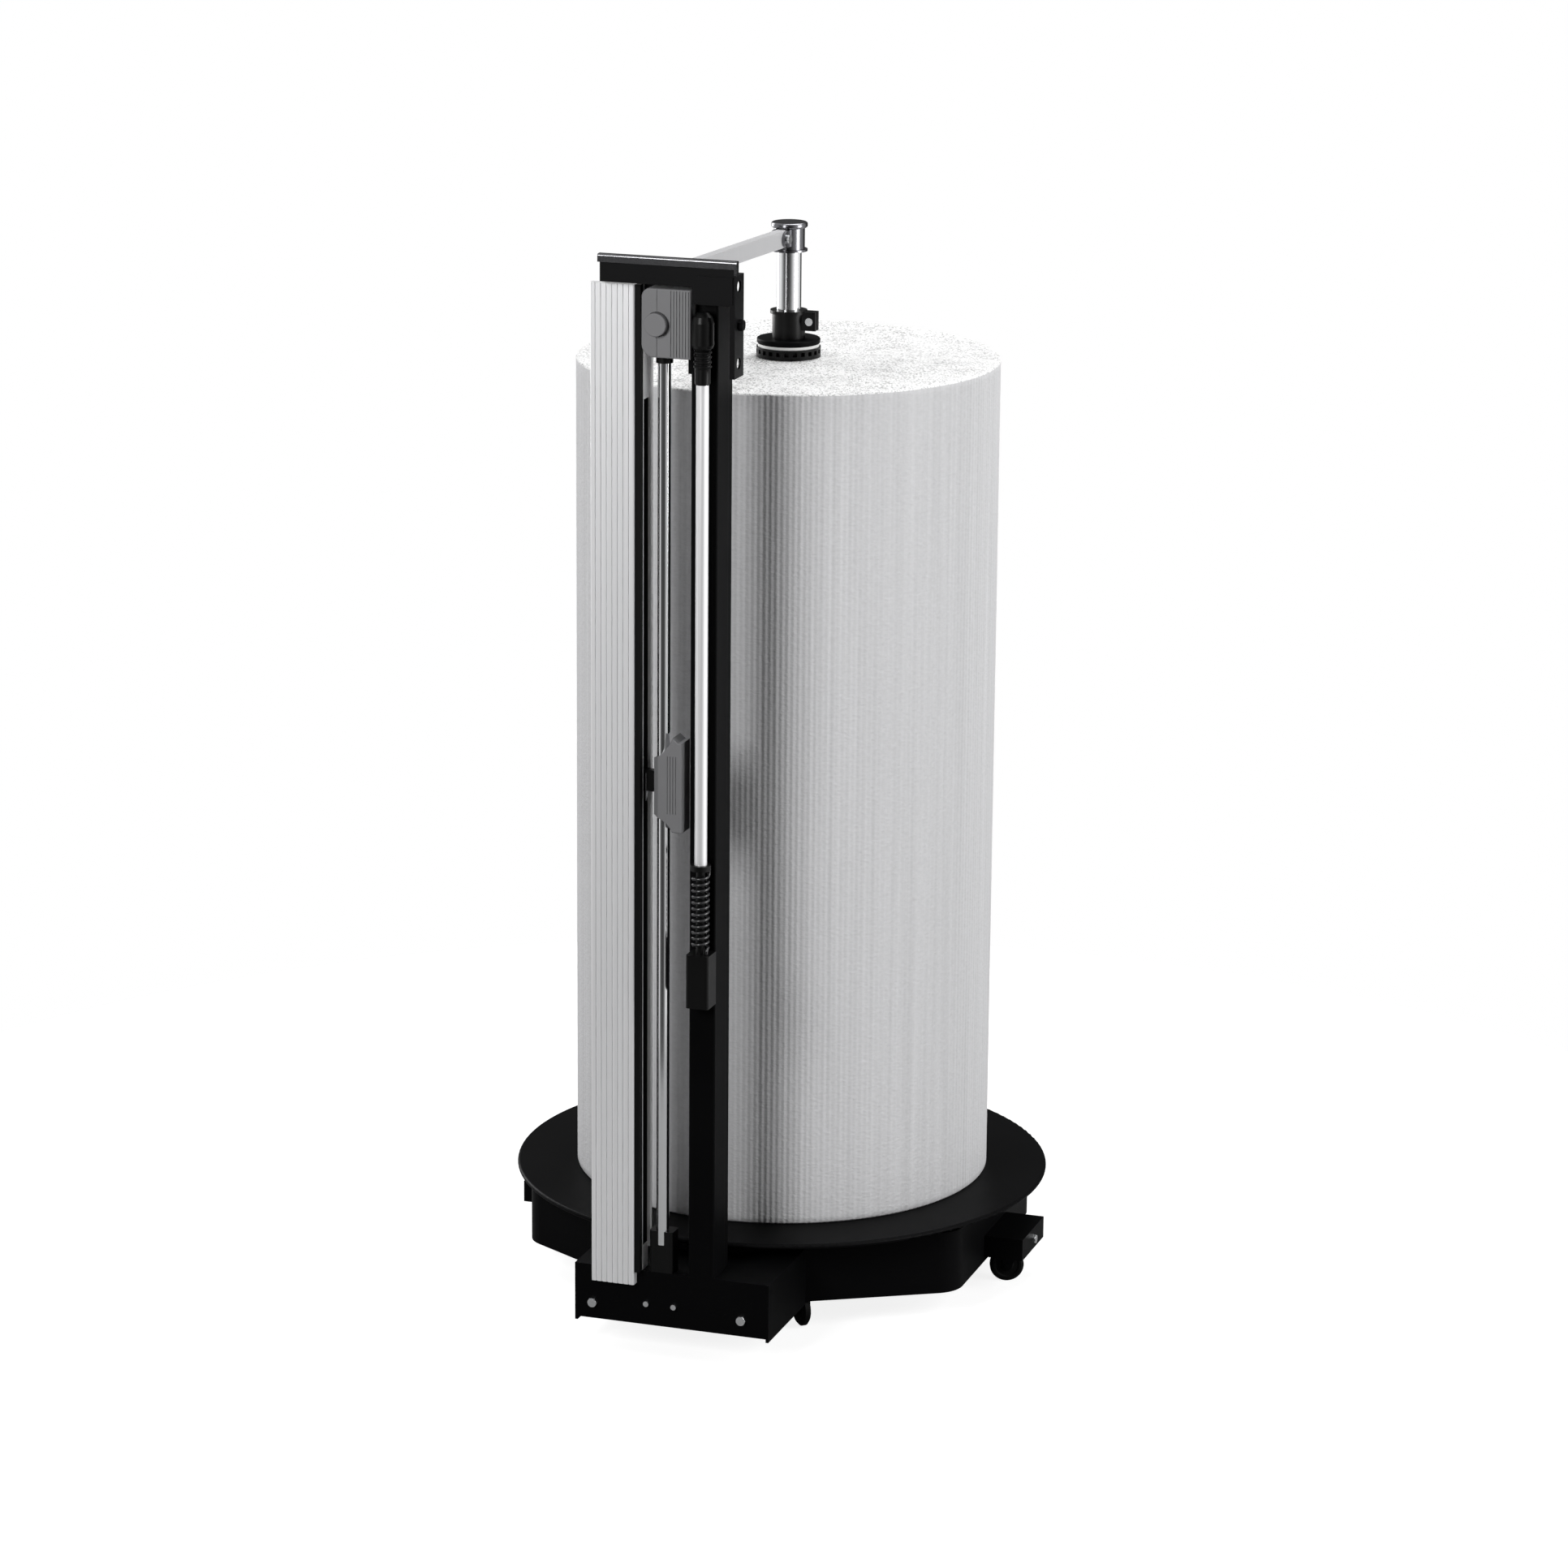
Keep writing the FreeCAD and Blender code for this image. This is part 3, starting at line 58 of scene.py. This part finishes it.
# Camera, fitted to the photograph's edges and ellipses
CAMERA_PLACE = Vector((2.3724, -7.0558, 2.704))
CAMERA_AZIMUTH = 18.459
CAMERA_ELEVATION = 14.818
CAMERA_ROLL = 0.463
FOCAL_PIXELS = 6559.4
IMAGE_PIXELS = 1932.0
SENSOR_MM = 36.0
CLIP_END = 100.0

# The wound roll
FLUTE_PITCH = 8.0 * MM
FLUTE_DEPTH = 0.28 * MM
STEPS_PER_FLUTE = 6
RIPPLE_ROUND = 40.0
RIPPLE_RISE = 3.0
RIPPLE_SHARE = 0.5
ROLL_EDGE = 2.5 * MM
LAYER_PITCH = 5.2 * MM
LAYER_DEPTH = 0.7 * MM
LAYER_FALL = 0.55
ROLL_ROWS = 150

# The spring in front of the post
SPRING_WIRE_RADIUS = 2.0 * MM
SPRING_WIRE_SIDES = 14
SPRING_MEAN = 10.6 * MM
SPRING_TURNS = 12
SPRING_BEND = 4.5 * MM
SPRING_STRAIGHT = 4.0 * MM
STEPS_PER_TURN = 32
STEPS_PER_BEND = 6
STEPS_PER_STRAIGHT = 3

# The knife rail's section, which also bounds the painted shade in its cavity
RAIL_WALL = 3.0 * MM
RAIL_LIP = 6.0 * MM
CAVITY_SLACK = 0.3 * MM

# The studio
FLOOR_RADIUS = 1.7
FLOOR_SEGMENTS = 96
FLOOR_GREY = 0.3
FLOOR_GLOW = 0.85
FILL_LIGHT = 0.04
LAMP_AIM = Vector((0.0, 0.0, 0.8))


def box_of(node):
    """A node's lowest and highest corners as vectors."""
    low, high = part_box(node)
    return Vector(low), Vector(high)


def centre_of(node):
    """The middle of a node's box."""
    low, high = box_of(node)
    return (low + high) / 2.0


# Materials

class Shader:
    """A node material with a Principled shader and helpers that add to it."""

    def __init__(self, name, color, roughness, metallic=0.0, specular=0.5):
        self.material = bpy.data.materials.new(name)
        self.material.use_nodes = True
        self.nodes = self.material.node_tree.nodes
        self.links = self.material.node_tree.links
        self.principled = self.nodes["Principled BSDF"]
        self.color = color
        self.roughness = roughness
        self.principled.inputs["Base Color"].default_value = (*color, 1.0)
        self.principled.inputs["Roughness"].default_value = roughness
        self.principled.inputs["Metallic"].default_value = metallic
        self.principled.inputs["Specular IOR Level"].default_value = specular
        self.place = self.add("ShaderNodeTexCoord").outputs["Object"]
        self.height = None

    def add(self, kind, **settings):
        """A new node with some of its properties set."""
        node = self.nodes.new(kind)
        for key, value in settings.items():
            setattr(node, key, value)
        return node

    def stretched(self, x, y, z):
        """Object coordinates scaled on each axis."""
        mapping = self.add("ShaderNodeMapping")
        mapping.inputs["Scale"].default_value = (x, y, z)
        self.links.new(self.place, mapping.inputs["Vector"])
        return mapping.outputs["Vector"]

    def noise(self, scale, detail=3.0, vector=None, rough=0.55):
        """Noise in object space."""
        node = self.add("ShaderNodeTexNoise")
        node.inputs["Scale"].default_value = scale
        node.inputs["Detail"].default_value = detail
        node.inputs["Roughness"].default_value = rough
        self.links.new(vector or self.place, node.inputs["Vector"])
        return node.outputs["Fac"]

    def ranged(self, value, low, high, start=0.0, end=1.0):
        """A value moved from one range to another."""
        node = self.add("ShaderNodeMapRange")
        node.inputs["From Min"].default_value = start
        node.inputs["From Max"].default_value = end
        node.inputs["To Min"].default_value = low
        node.inputs["To Max"].default_value = high
        self.links.new(value, node.inputs["Value"])
        return node.outputs["Result"]

    def maths(self, operation, first, second):
        """One arithmetic step between two values."""
        node = self.add("ShaderNodeMath", operation=operation)
        for socket, value in zip(node.inputs, (first, second)):
            if isinstance(value, (int, float)):
                socket.default_value = value
            else:
                self.links.new(value, socket)
        return node.outputs["Value"]

    def vary_color(self, value, dark, light):
        """Base colour between two shades of the first colour."""
        mix = self.add("ShaderNodeMix", data_type="RGBA")
        mix.inputs["A"].default_value = (*[c * dark for c in self.color], 1.0)
        mix.inputs["B"].default_value = (*[c * light for c in self.color], 1.0)
        self.links.new(value, mix.inputs["Factor"])
        self.links.new(mix.outputs["Result"], self.principled.inputs["Base Color"])

    def vary_roughness(self, value, spread):
        """Roughness that wanders about its middle value."""
        result = self.ranged(value, self.roughness - spread, self.roughness + spread)
        self.links.new(result, self.principled.inputs["Roughness"])

    def bump(self, value, depth):
        """A height in metres, added on any bump so far."""
        node = self.add("ShaderNodeBump")
        node.inputs["Strength"].default_value = 1.0
        node.inputs["Distance"].default_value = depth
        self.links.new(value, node.inputs["Height"])
        if self.height is not None:
            self.links.new(self.height, node.inputs["Normal"])
        self.height = node.outputs["Normal"]
        self.links.new(self.height, self.principled.inputs["Normal"])


def powder_coat(name, color, roughness, specular):
    """Black powder coat with a fine orange peel and slight handling marks."""
    shader = Shader(name, color, roughness, specular=specular)
    shader.bump(shader.noise(420.0, 2.0), 0.06 * MM)
    wear = shader.noise(9.0, 5.0)
    shader.vary_roughness(wear, 0.08)
    shader.vary_color(wear, 0.75, 1.35)
    return shader.material


def anodised(name, color, metallic):
    """Natural anodised aluminium, drawn along Z."""
    shader = Shader(name, color, 0.38, metallic=metallic)
    streaks = shader.noise(1.0, 3.0, shader.stretched(900.0, 900.0, 2.5))
    shader.vary_color(streaks, 0.93, 1.07)
    shader.vary_roughness(streaks, 0.07)
    shader.bump(streaks, 0.012 * MM)
    return shader.material


def hollow_rail(name, color, metallic):
    """Anodised aluminium outside, with painted shade: near black inside the rail's cavity and slot."""
    shader = Shader(name, color, 0.38, metallic=metallic)
    wall_low, wall_high = box_of("knife_rail")
    wall_right = wall_high.x - RAIL_LIP
    split = shader.add("ShaderNodeSeparateXYZ")
    shader.links.new(shader.place, split.inputs["Vector"])
    cavity_painted_shade = None
    for axis, start, end in (("X", wall_low.x + RAIL_WALL, wall_right - 2.0 * CAVITY_SLACK),
                             ("Y", wall_low.y + RAIL_WALL, wall_high.y - RAIL_WALL)):
        past = shader.maths("GREATER_THAN", split.outputs[axis], start - CAVITY_SLACK)
        short = shader.maths("LESS_THAN", split.outputs[axis], end + CAVITY_SLACK)
        both = shader.maths("MULTIPLY", past, short)
        cavity_painted_shade = both if cavity_painted_shade is None else shader.maths("MULTIPLY", cavity_painted_shade, both)
    # painted shade: the rail's cavity and slot are coloured near black
    shader.vary_color(cavity_painted_shade, 1.0, 0.01)
    return shader.material


def drawn_bar(name, roughness, tint):
    """Bright drawn steel bar with fine lengthwise lines."""
    shader = Shader(name, tint, roughness, metallic=1.0)
    streaks = shader.noise(1.0, 3.0, shader.stretched(1400.0, 1400.0, 4.0))
    shader.vary_roughness(streaks, 0.04)
    marks = shader.noise(30.0, 4.0)
    shader.vary_color(marks, 0.95, 1.03)
    return shader.material


def zinc(name):
    """Bright zinc plate, slightly mottled."""
    shader = Shader(name, (0.72, 0.73, 0.74), 0.24, metallic=1.0)
    mottle = shader.noise(260.0, 3.0)
    shader.vary_color(mottle, 0.82, 1.08)
    shader.vary_roughness(mottle, 0.08)
    return shader.material


def moulded(name, color, roughness, grain, depth, specular=0.4):
    """Moulded plastic or rubber with a fine grain."""
    shader = Shader(name, color, roughness, specular=specular)
    shader.bump(shader.noise(grain, 2.0), depth)
    cloud = shader.noise(22.0, 4.0)
    shader.vary_color(cloud, 0.93, 1.06)
    shader.vary_roughness(cloud, 0.05)
    return shader.material


def roll_side(name):
    """Fluted wrap: upright streaks crossed by a fine crepe."""
    shader = Shader(name, (0.58, 0.58, 0.59), 0.85, specular=0.15)
    streaks = shader.noise(1.0, 2.0, shader.stretched(95.0, 95.0, 1.2))
    crepe = shader.noise(1.0, 2.0, shader.stretched(130.0, 130.0, 260.0))
    weak_streaks = shader.maths("MULTIPLY", streaks, 0.6)
    weak_crepe = shader.maths("MULTIPLY", crepe, 0.4)
    both = shader.maths("ADD", weak_streaks, weak_crepe)
    shader.vary_color(shader.ranged(both, 0.0, 1.0, 0.3, 0.7), 0.9, 1.08)
    shader.bump(crepe, 0.9 * MM)
    shader.bump(streaks, 0.45 * MM)
    return shader.material


def roll_end(name):
    """The roll's cut end: pale layers, with painted shade as dark spots in the open flutes."""
    shader = Shader(name, (0.80, 0.80, 0.80), 0.9, specular=0.1)
    open_flutes = shader.noise(330.0, 4.0, rough=0.7)
    patches = shader.noise(24.0, 3.0)
    level = shader.maths("MULTIPLY", open_flutes, shader.ranged(patches, 0.75, 1.15))
    # painted shade: the open flutes are coloured dark
    shader.vary_color(shader.ranged(level, 0.0, 1.0, 0.34, 0.50), 0.38, 1.05)
    shader.bump(open_flutes, 1.2 * MM)
    return shader.material


def board(name):
    """Brown core board."""
    shader = Shader(name, (0.42, 0.33, 0.24), 0.85, specular=0.2)
    fibres = shader.noise(180.0, 4.0)
    shader.vary_color(fibres, 0.85, 1.12)
    shader.bump(fibres, 0.1 * MM)
    return shader.material


MATERIALS = {
    "black_paint": powder_coat("black_powder_coat", (0.002, 0.002, 0.0022), 0.45, 0.03),
    "black_head": powder_coat("black_head_coat", (0.003, 0.003, 0.0033), 0.42, 0.06),
    "zinc": zinc("zinc_plate"),
    "bearing_steel": drawn_bar("bearing_steel", 0.3, (0.55, 0.56, 0.58)),
    "anodised": anodised("anodised_aluminium", (0.74, 0.74, 0.75), 0.2),
    "bright_bar": drawn_bar("bright_bar", 0.13, (0.85, 0.86, 0.87)),
    "grey_moulding": moulded("grey_moulding", (0.17, 0.17, 0.175), 0.55, 900.0, 0.03 * MM),
    "black_moulding": moulded("black_moulding", (0.003, 0.003, 0.003), 0.35, 700.0, 0.03 * MM, 0.15),
    "black_rubber": moulded("black_rubber", (0.003, 0.003, 0.003), 0.6, 500.0, 0.05 * MM, 0.08),
    "pale_washer": moulded("pale_washer", (0.75, 0.75, 0.74), 0.5, 600.0, 0.02 * MM),
    "spring_black": moulded("spring_black", (0.010, 0.010, 0.011), 0.28, 400.0, 0.02 * MM, 0.6),
    "blade_steel": drawn_bar("blade_steel", 0.25, (0.66, 0.67, 0.69)),
    "wrap": roll_side("fluted_wrap"),
    "core_board": board("core_board"),
}
ROLL_END = roll_end("roll_cut_end")
# painted shade: a darker copy of the anodised aluminium, for the top arm only
ARM = anodised("arm_aluminium_painted_shade", (0.55, 0.55, 0.56), 0.3)
# painted reflection: the bright collar and cap get a dark metal tint that stands in for the dark
# surroundings they reflect
DARK_REFLECTION_METAL = drawn_bar("collar_painted_dark_reflection", 0.22, (0.16, 0.16, 0.17))
# painted light: the rail's base colour is raised above the other anodised parts to make up for the light the
# post blocks
RAIL = hollow_rail("rail_aluminium_painted_light_and_shade", (0.92, 0.92, 0.92), 0.2)
TUBE = anodised("tube_aluminium", (0.85, 0.85, 0.86), 0.55)
DARK_LIP = drawn_bar("polished_lip", 0.2, (0.12, 0.12, 0.125))
BY_NODE = {"top_arm": ARM, "upper_collar": DARK_REFLECTION_METAL, "mast_cap": DARK_REFLECTION_METAL, "head_trim": DARK_LIP,
           "knife_rail": RAIL, "guide_tube": TUBE, "side_knob": MATERIALS["black_paint"]}
BY_NODE.update({node: MATERIALS["black_paint"] for node in frame["nodes"] if node.endswith("castor_fork")})

slot_of = {entry["node"]: entry["material_slot"] for entry in frame["record"]["subparts"]}
for node, obj in frame["nodes"].items():
    for slot in obj.material_slots:
        slot.material = BY_NODE.get(node, MATERIALS[slot_of[node]])


# Mesh helpers

def piece(name, bm, body, materials):
    """Turn a bmesh into a smooth piece that rides on a body."""
    mesh = bpy.data.meshes.new(name)
    bm.normal_update()
    bm.to_mesh(mesh)
    bm.free()
    for material in materials:
        mesh.materials.append(material)
    for polygon in mesh.polygons:
        polygon.use_smooth = True
    obj = bpy.data.objects.new(name, mesh)
    bpy.context.scene.collection.objects.link(obj)
    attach(obj, body)
    return obj


def lathe(bm, profile, centre, steps, radius_at):
    """Revolve (radius, z, material) points about an upright axis and return the rings of vertices."""
    rings = []
    for radius, z, slot in profile:
        ring = []
        for i in range(steps):
            turn = 2.0 * math.pi * i / steps
            r = radius_at(radius, turn, z)
            ring.append(bm.verts.new((centre.x + r * math.cos(turn), centre.y + r * math.sin(turn), z)))
        rings.append(ring)
    for k in range(len(rings) - 1):
        for i in range(steps):
            j = (i + 1) % steps
            face = bm.faces.new((rings[k][i], rings[k][j], rings[k + 1][j], rings[k + 1][i]))
            face.material_index = profile[k + 1][2]
    return rings


def tube_along(bm, points, radius, sides):
    """A round tube with closed ends along a list of points."""
    rings = []
    side = Vector((1.0, 0.0, 0.0))
    for k, point in enumerate(points):
        ahead = points[min(k + 1, len(points) - 1)] - points[max(k - 1, 0)]
        ahead.normalize()
        side = (side - ahead * side.dot(ahead)).normalized()
        other = ahead.cross(side)
        ring = []
        for i in range(sides):
            a = 2.0 * math.pi * i / sides
            ring.append(bm.verts.new(point + side * (radius * math.cos(a)) + other * (radius * math.sin(a))))
        rings.append(ring)
    for k in range(len(rings) - 1):
        for i in range(sides):
            j = (i + 1) % sides
            bm.faces.new((rings[k][i], rings[k][j], rings[k + 1][j], rings[k + 1][i]))
    bm.faces.new(list(reversed(rings[0])))
    bm.faces.new(rings[-1])


def make_roll():
    """The wound roll: fluted side, soft edges and a cut end with its layers."""
    low, high = box_of("paper_roll")
    core_low, core_high = box_of("roll_core")
    centre = (low + high) / 2.0
    radius = (high.x - low.x) / 2.0
    bore = (core_high.x - core_low.x) / 2.0
    flutes = round(2.0 * math.pi * radius / FLUTE_PITCH)
    steps = flutes * STEPS_PER_FLUTE
    edge = radius - FLUTE_DEPTH

    def wavy(r, turn, z):
        """Flutes and a slight ripple, which fade out inside the roll's edge."""
        share = min(1.0, max(0.0, (r - radius + 3.0 * ROLL_EDGE) / (3.0 * ROLL_EDGE)))
        ripple = noise.noise(Vector((RIPPLE_ROUND * math.cos(turn), RIPPLE_ROUND * math.sin(turn),
                                     RIPPLE_RISE * z)))
        return r + share * FLUTE_DEPTH * (math.cos(flutes * turn) + RIPPLE_SHARE * ripple)

    profile = [(bore, low.z, 1), (edge - ROLL_EDGE, low.z, 1), (edge, low.z + ROLL_EDGE, 0)]
    for k in range(1, ROLL_ROWS):
        rise = (high.z - low.z - 2.0 * ROLL_EDGE) * k / ROLL_ROWS
        profile.append((edge, low.z + ROLL_EDGE + rise, 0))
    profile += [(edge, high.z - ROLL_EDGE, 0), (edge - ROLL_EDGE * 0.4, high.z - ROLL_EDGE * 0.3, 1)]
    layers = int((edge - ROLL_EDGE - bore) / LAYER_PITCH)
    for k in range(layers + 1):
        outer = edge - ROLL_EDGE - k * LAYER_PITCH
        if outer - LAYER_PITCH * 0.5 <= bore:
            break
        profile.append((outer, high.z, 1))
        profile.append((outer - LAYER_PITCH * LAYER_FALL, high.z - LAYER_DEPTH, 1))
    profile.append((bore, high.z, 1))
    bm = bmesh.new()
    rings = lathe(bm, profile, centre, steps, wavy)
    for i in range(steps):
        j = (i + 1) % steps
        face = bm.faces.new((rings[-1][i], rings[-1][j], rings[0][j], rings[0][i]))
        face.material_index = 1
    obj = piece("wound_roll", bm, "turntable", (MATERIALS["wrap"], ROLL_END))
    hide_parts("paper_roll")


def make_spring():
    """The coil between the anchor and the guide tube's seat, with straight ends."""
    low, high = box_of("guide_spring")
    centre = centre_of("guide_tube")
    bottom, top = low.z, high.z
    side = centre.x + SPRING_MEAN
    front, back = centre.y - SPRING_BEND, centre.y + SPRING_BEND
    bend_low = bottom + SPRING_STRAIGHT
    coil_low = bend_low + SPRING_BEND
    coil_high = top - SPRING_STRAIGHT - SPRING_BEND
    shares = [k / STEPS_PER_STRAIGHT for k in range(STEPS_PER_STRAIGHT + 1)]
    bends = [math.pi / 2.0 * k / STEPS_PER_BEND for k in range(1, STEPS_PER_BEND)]
    points = [Vector((side, front, bottom + SPRING_STRAIGHT * share)) for share in shares]
    for a in bends:
        points.append(Vector((side, centre.y - SPRING_BEND * math.cos(a),
                              bend_low + SPRING_BEND * math.sin(a))))
    steps = SPRING_TURNS * STEPS_PER_TURN
    for k in range(steps + 1):
        turn = 2.0 * math.pi * SPRING_TURNS * k / steps
        points.append(Vector((centre.x + SPRING_MEAN * math.cos(turn),
                              centre.y + SPRING_MEAN * math.sin(turn),
                              coil_low + (coil_high - coil_low) * k / steps)))
    for a in bends:
        points.append(Vector((side, centre.y + SPRING_BEND * math.sin(a),
                              coil_high + SPRING_BEND * (1.0 - math.cos(a)))))
    points += [Vector((side, back, top - SPRING_STRAIGHT * (1.0 - share))) for share in shares]
    bm = bmesh.new()
    tube_along(bm, points, SPRING_WIRE_RADIUS, SPRING_WIRE_SIDES)
    obj = piece("guide_spring_coil", bm, "stand", (MATERIALS["spring_black"],))
    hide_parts("guide_spring")
    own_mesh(obj)


make_roll()
make_spring()


# Floor, light and camera

def make_floor():
    """Wide pale floor that stays white to the camera but keeps a soft shadow."""
    bm = bmesh.new()
    bmesh.ops.create_circle(bm, cap_ends=True, segments=FLOOR_SEGMENTS, radius=FLOOR_RADIUS)
    mesh = bpy.data.meshes.new("floor")
    bm.to_mesh(mesh)
    bm.free()
    material = bpy.data.materials.new("pale_floor")
    material.use_nodes = True
    nodes, links = material.node_tree.nodes, material.node_tree.links
    nodes.clear()
    diffuse = nodes.new("ShaderNodeBsdfDiffuse")
    diffuse.inputs["Color"].default_value = (FLOOR_GREY, FLOOR_GREY, FLOOR_GREY, 1.0)
    glow = nodes.new("ShaderNodeEmission")
    path = nodes.new("ShaderNodeLightPath")
    seen = nodes.new("ShaderNodeMath")
    seen.operation = "MULTIPLY"
    seen.inputs[1].default_value = FLOOR_GLOW
    links.new(path.outputs["Is Camera Ray"], seen.inputs[0])
    links.new(seen.outputs["Value"], glow.inputs["Strength"])
    both = nodes.new("ShaderNodeAddShader")
    links.new(diffuse.outputs["BSDF"], both.inputs[0])
    links.new(glow.outputs["Emission"], both.inputs[1])
    output = nodes.new("ShaderNodeOutputMaterial")
    links.new(both.outputs["Shader"], output.inputs["Surface"])
    mesh.materials.append(material)
    floor = bpy.data.objects.new("floor", mesh)
    bpy.context.scene.collection.objects.link(floor)


def eased(nodes, links, value, start, end, low, high):
    """A value that eases from low to high while another goes from start to end."""
    node = nodes.new("ShaderNodeMapRange")
    node.interpolation_type = "SMOOTHSTEP"
    node.inputs["From Min"].default_value = start
    node.inputs["From Max"].default_value = end
    node.inputs["To Min"].default_value = low
    node.inputs["To Max"].default_value = high
    links.new(value, node.inputs["Value"])
    return node.outputs["Result"]


def make_world():
    """White to the camera, dark in front and behind in reflections, and a weak even fill."""
    world = bpy.data.worlds.new("studio")
    bpy.context.scene.world = world
    world.use_nodes = True
    nodes, links = world.node_tree.nodes, world.node_tree.links
    nodes.clear()
    path = nodes.new("ShaderNodeLightPath")
    place = nodes.new("ShaderNodeTexCoord")
    split = nodes.new("ShaderNodeSeparateXYZ")
    links.new(place.outputs["Generated"], split.inputs["Vector"])
    front = eased(nodes, links, split.outputs["Y"], -0.95, -0.35, 0.05, 0.9)
    behind = eased(nodes, links, split.outputs["Y"], 0.6, 0.9, 1.0, 0.08)
    around = nodes.new("ShaderNodeMath")
    around.operation = "MULTIPLY"
    links.new(front, around.inputs[0])
    links.new(behind, around.inputs[1])
    reflected = nodes.new("ShaderNodeMix")
    reflected.data_type = "FLOAT"
    reflected.inputs["A"].default_value = FILL_LIGHT
    links.new(path.outputs["Is Glossy Ray"], reflected.inputs["Factor"])
    links.new(around.outputs["Value"], reflected.inputs["B"])
    seen = nodes.new("ShaderNodeMix")
    seen.data_type = "FLOAT"
    seen.inputs["B"].default_value = 1.0
    links.new(path.outputs["Is Camera Ray"], seen.inputs["Factor"])
    links.new(reflected.outputs["Result"], seen.inputs["A"])
    background = nodes.new("ShaderNodeBackground")
    background.inputs["Color"].default_value = (1.0, 1.0, 1.0, 1.0)
    links.new(seen.outputs["Result"], background.inputs["Strength"])
    output = nodes.new("ShaderNodeOutputWorld")
    links.new(background.outputs["Background"], output.inputs["Surface"])


def make_lamp(name, azimuth, height, distance, width, tall, power):
    """An upright soft box that faces the roll, at an azimuth counted from the front towards +X."""
    data = bpy.data.lights.new(name, "AREA")
    data.shape = "RECTANGLE"
    data.size = width
    data.size_y = tall
    data.energy = power
    lamp = bpy.data.objects.new(name, data)
    turn = math.radians(azimuth)
    place = Vector((distance * math.sin(turn), -distance * math.cos(turn), height))
    lamp.location = place
    aim = LAMP_AIM - place
    lamp.rotation_euler = aim.to_track_quat("-Z", "Y").to_euler()
    bpy.context.scene.collection.objects.link(lamp)


def make_camera():
    """The photograph's view."""
    data = bpy.data.cameras.new("camera")
    data.sensor_width = SENSOR_MM
    data.lens = FOCAL_PIXELS / IMAGE_PIXELS * SENSOR_MM
    data.clip_end = CLIP_END
    camera = bpy.data.objects.new("camera", data)
    azimuth = math.radians(CAMERA_AZIMUTH)
    elevation = math.radians(CAMERA_ELEVATION)
    roll = math.radians(CAMERA_ROLL)
    ahead = Vector((-math.sin(azimuth) * math.cos(elevation), math.cos(azimuth) * math.cos(elevation),
                    -math.sin(elevation)))
    right = Vector((math.cos(azimuth), math.sin(azimuth), 0.0))
    up = right.cross(ahead)
    turned_right = right * math.cos(roll) + up * math.sin(roll)
    turned_up = up * math.cos(roll) - right * math.sin(roll)
    matrix = camera.matrix_world.copy()
    for row in range(3):
        matrix[row][0] = turned_right[row]
        matrix[row][1] = turned_up[row]
        matrix[row][2] = -ahead[row]
        matrix[row][3] = CAMERA_PLACE[row]
    camera.matrix_world = matrix
    bpy.context.scene.collection.objects.link(camera)
    bpy.context.scene.camera = camera


make_floor()
make_world()
make_lamp("front_left_strip", azimuth=-13.0, height=2.3, distance=3.6, width=0.9, tall=1.4, power=95.0)
make_lamp("left_soft_box", azimuth=-115.0, height=1.7, distance=3.2, width=1.4, tall=2.6, power=85.0)
make_lamp("right_soft_box", azimuth=88.0, height=1.7, distance=3.2, width=1.4, tall=2.6, power=100.0)
make_lamp("top_soft_box", azimuth=165.0, height=4.0, distance=1.2, width=2.0, tall=2.0, power=95.0)
make_camera()
bpy.context.scene.view_settings.view_transform = "Standard"
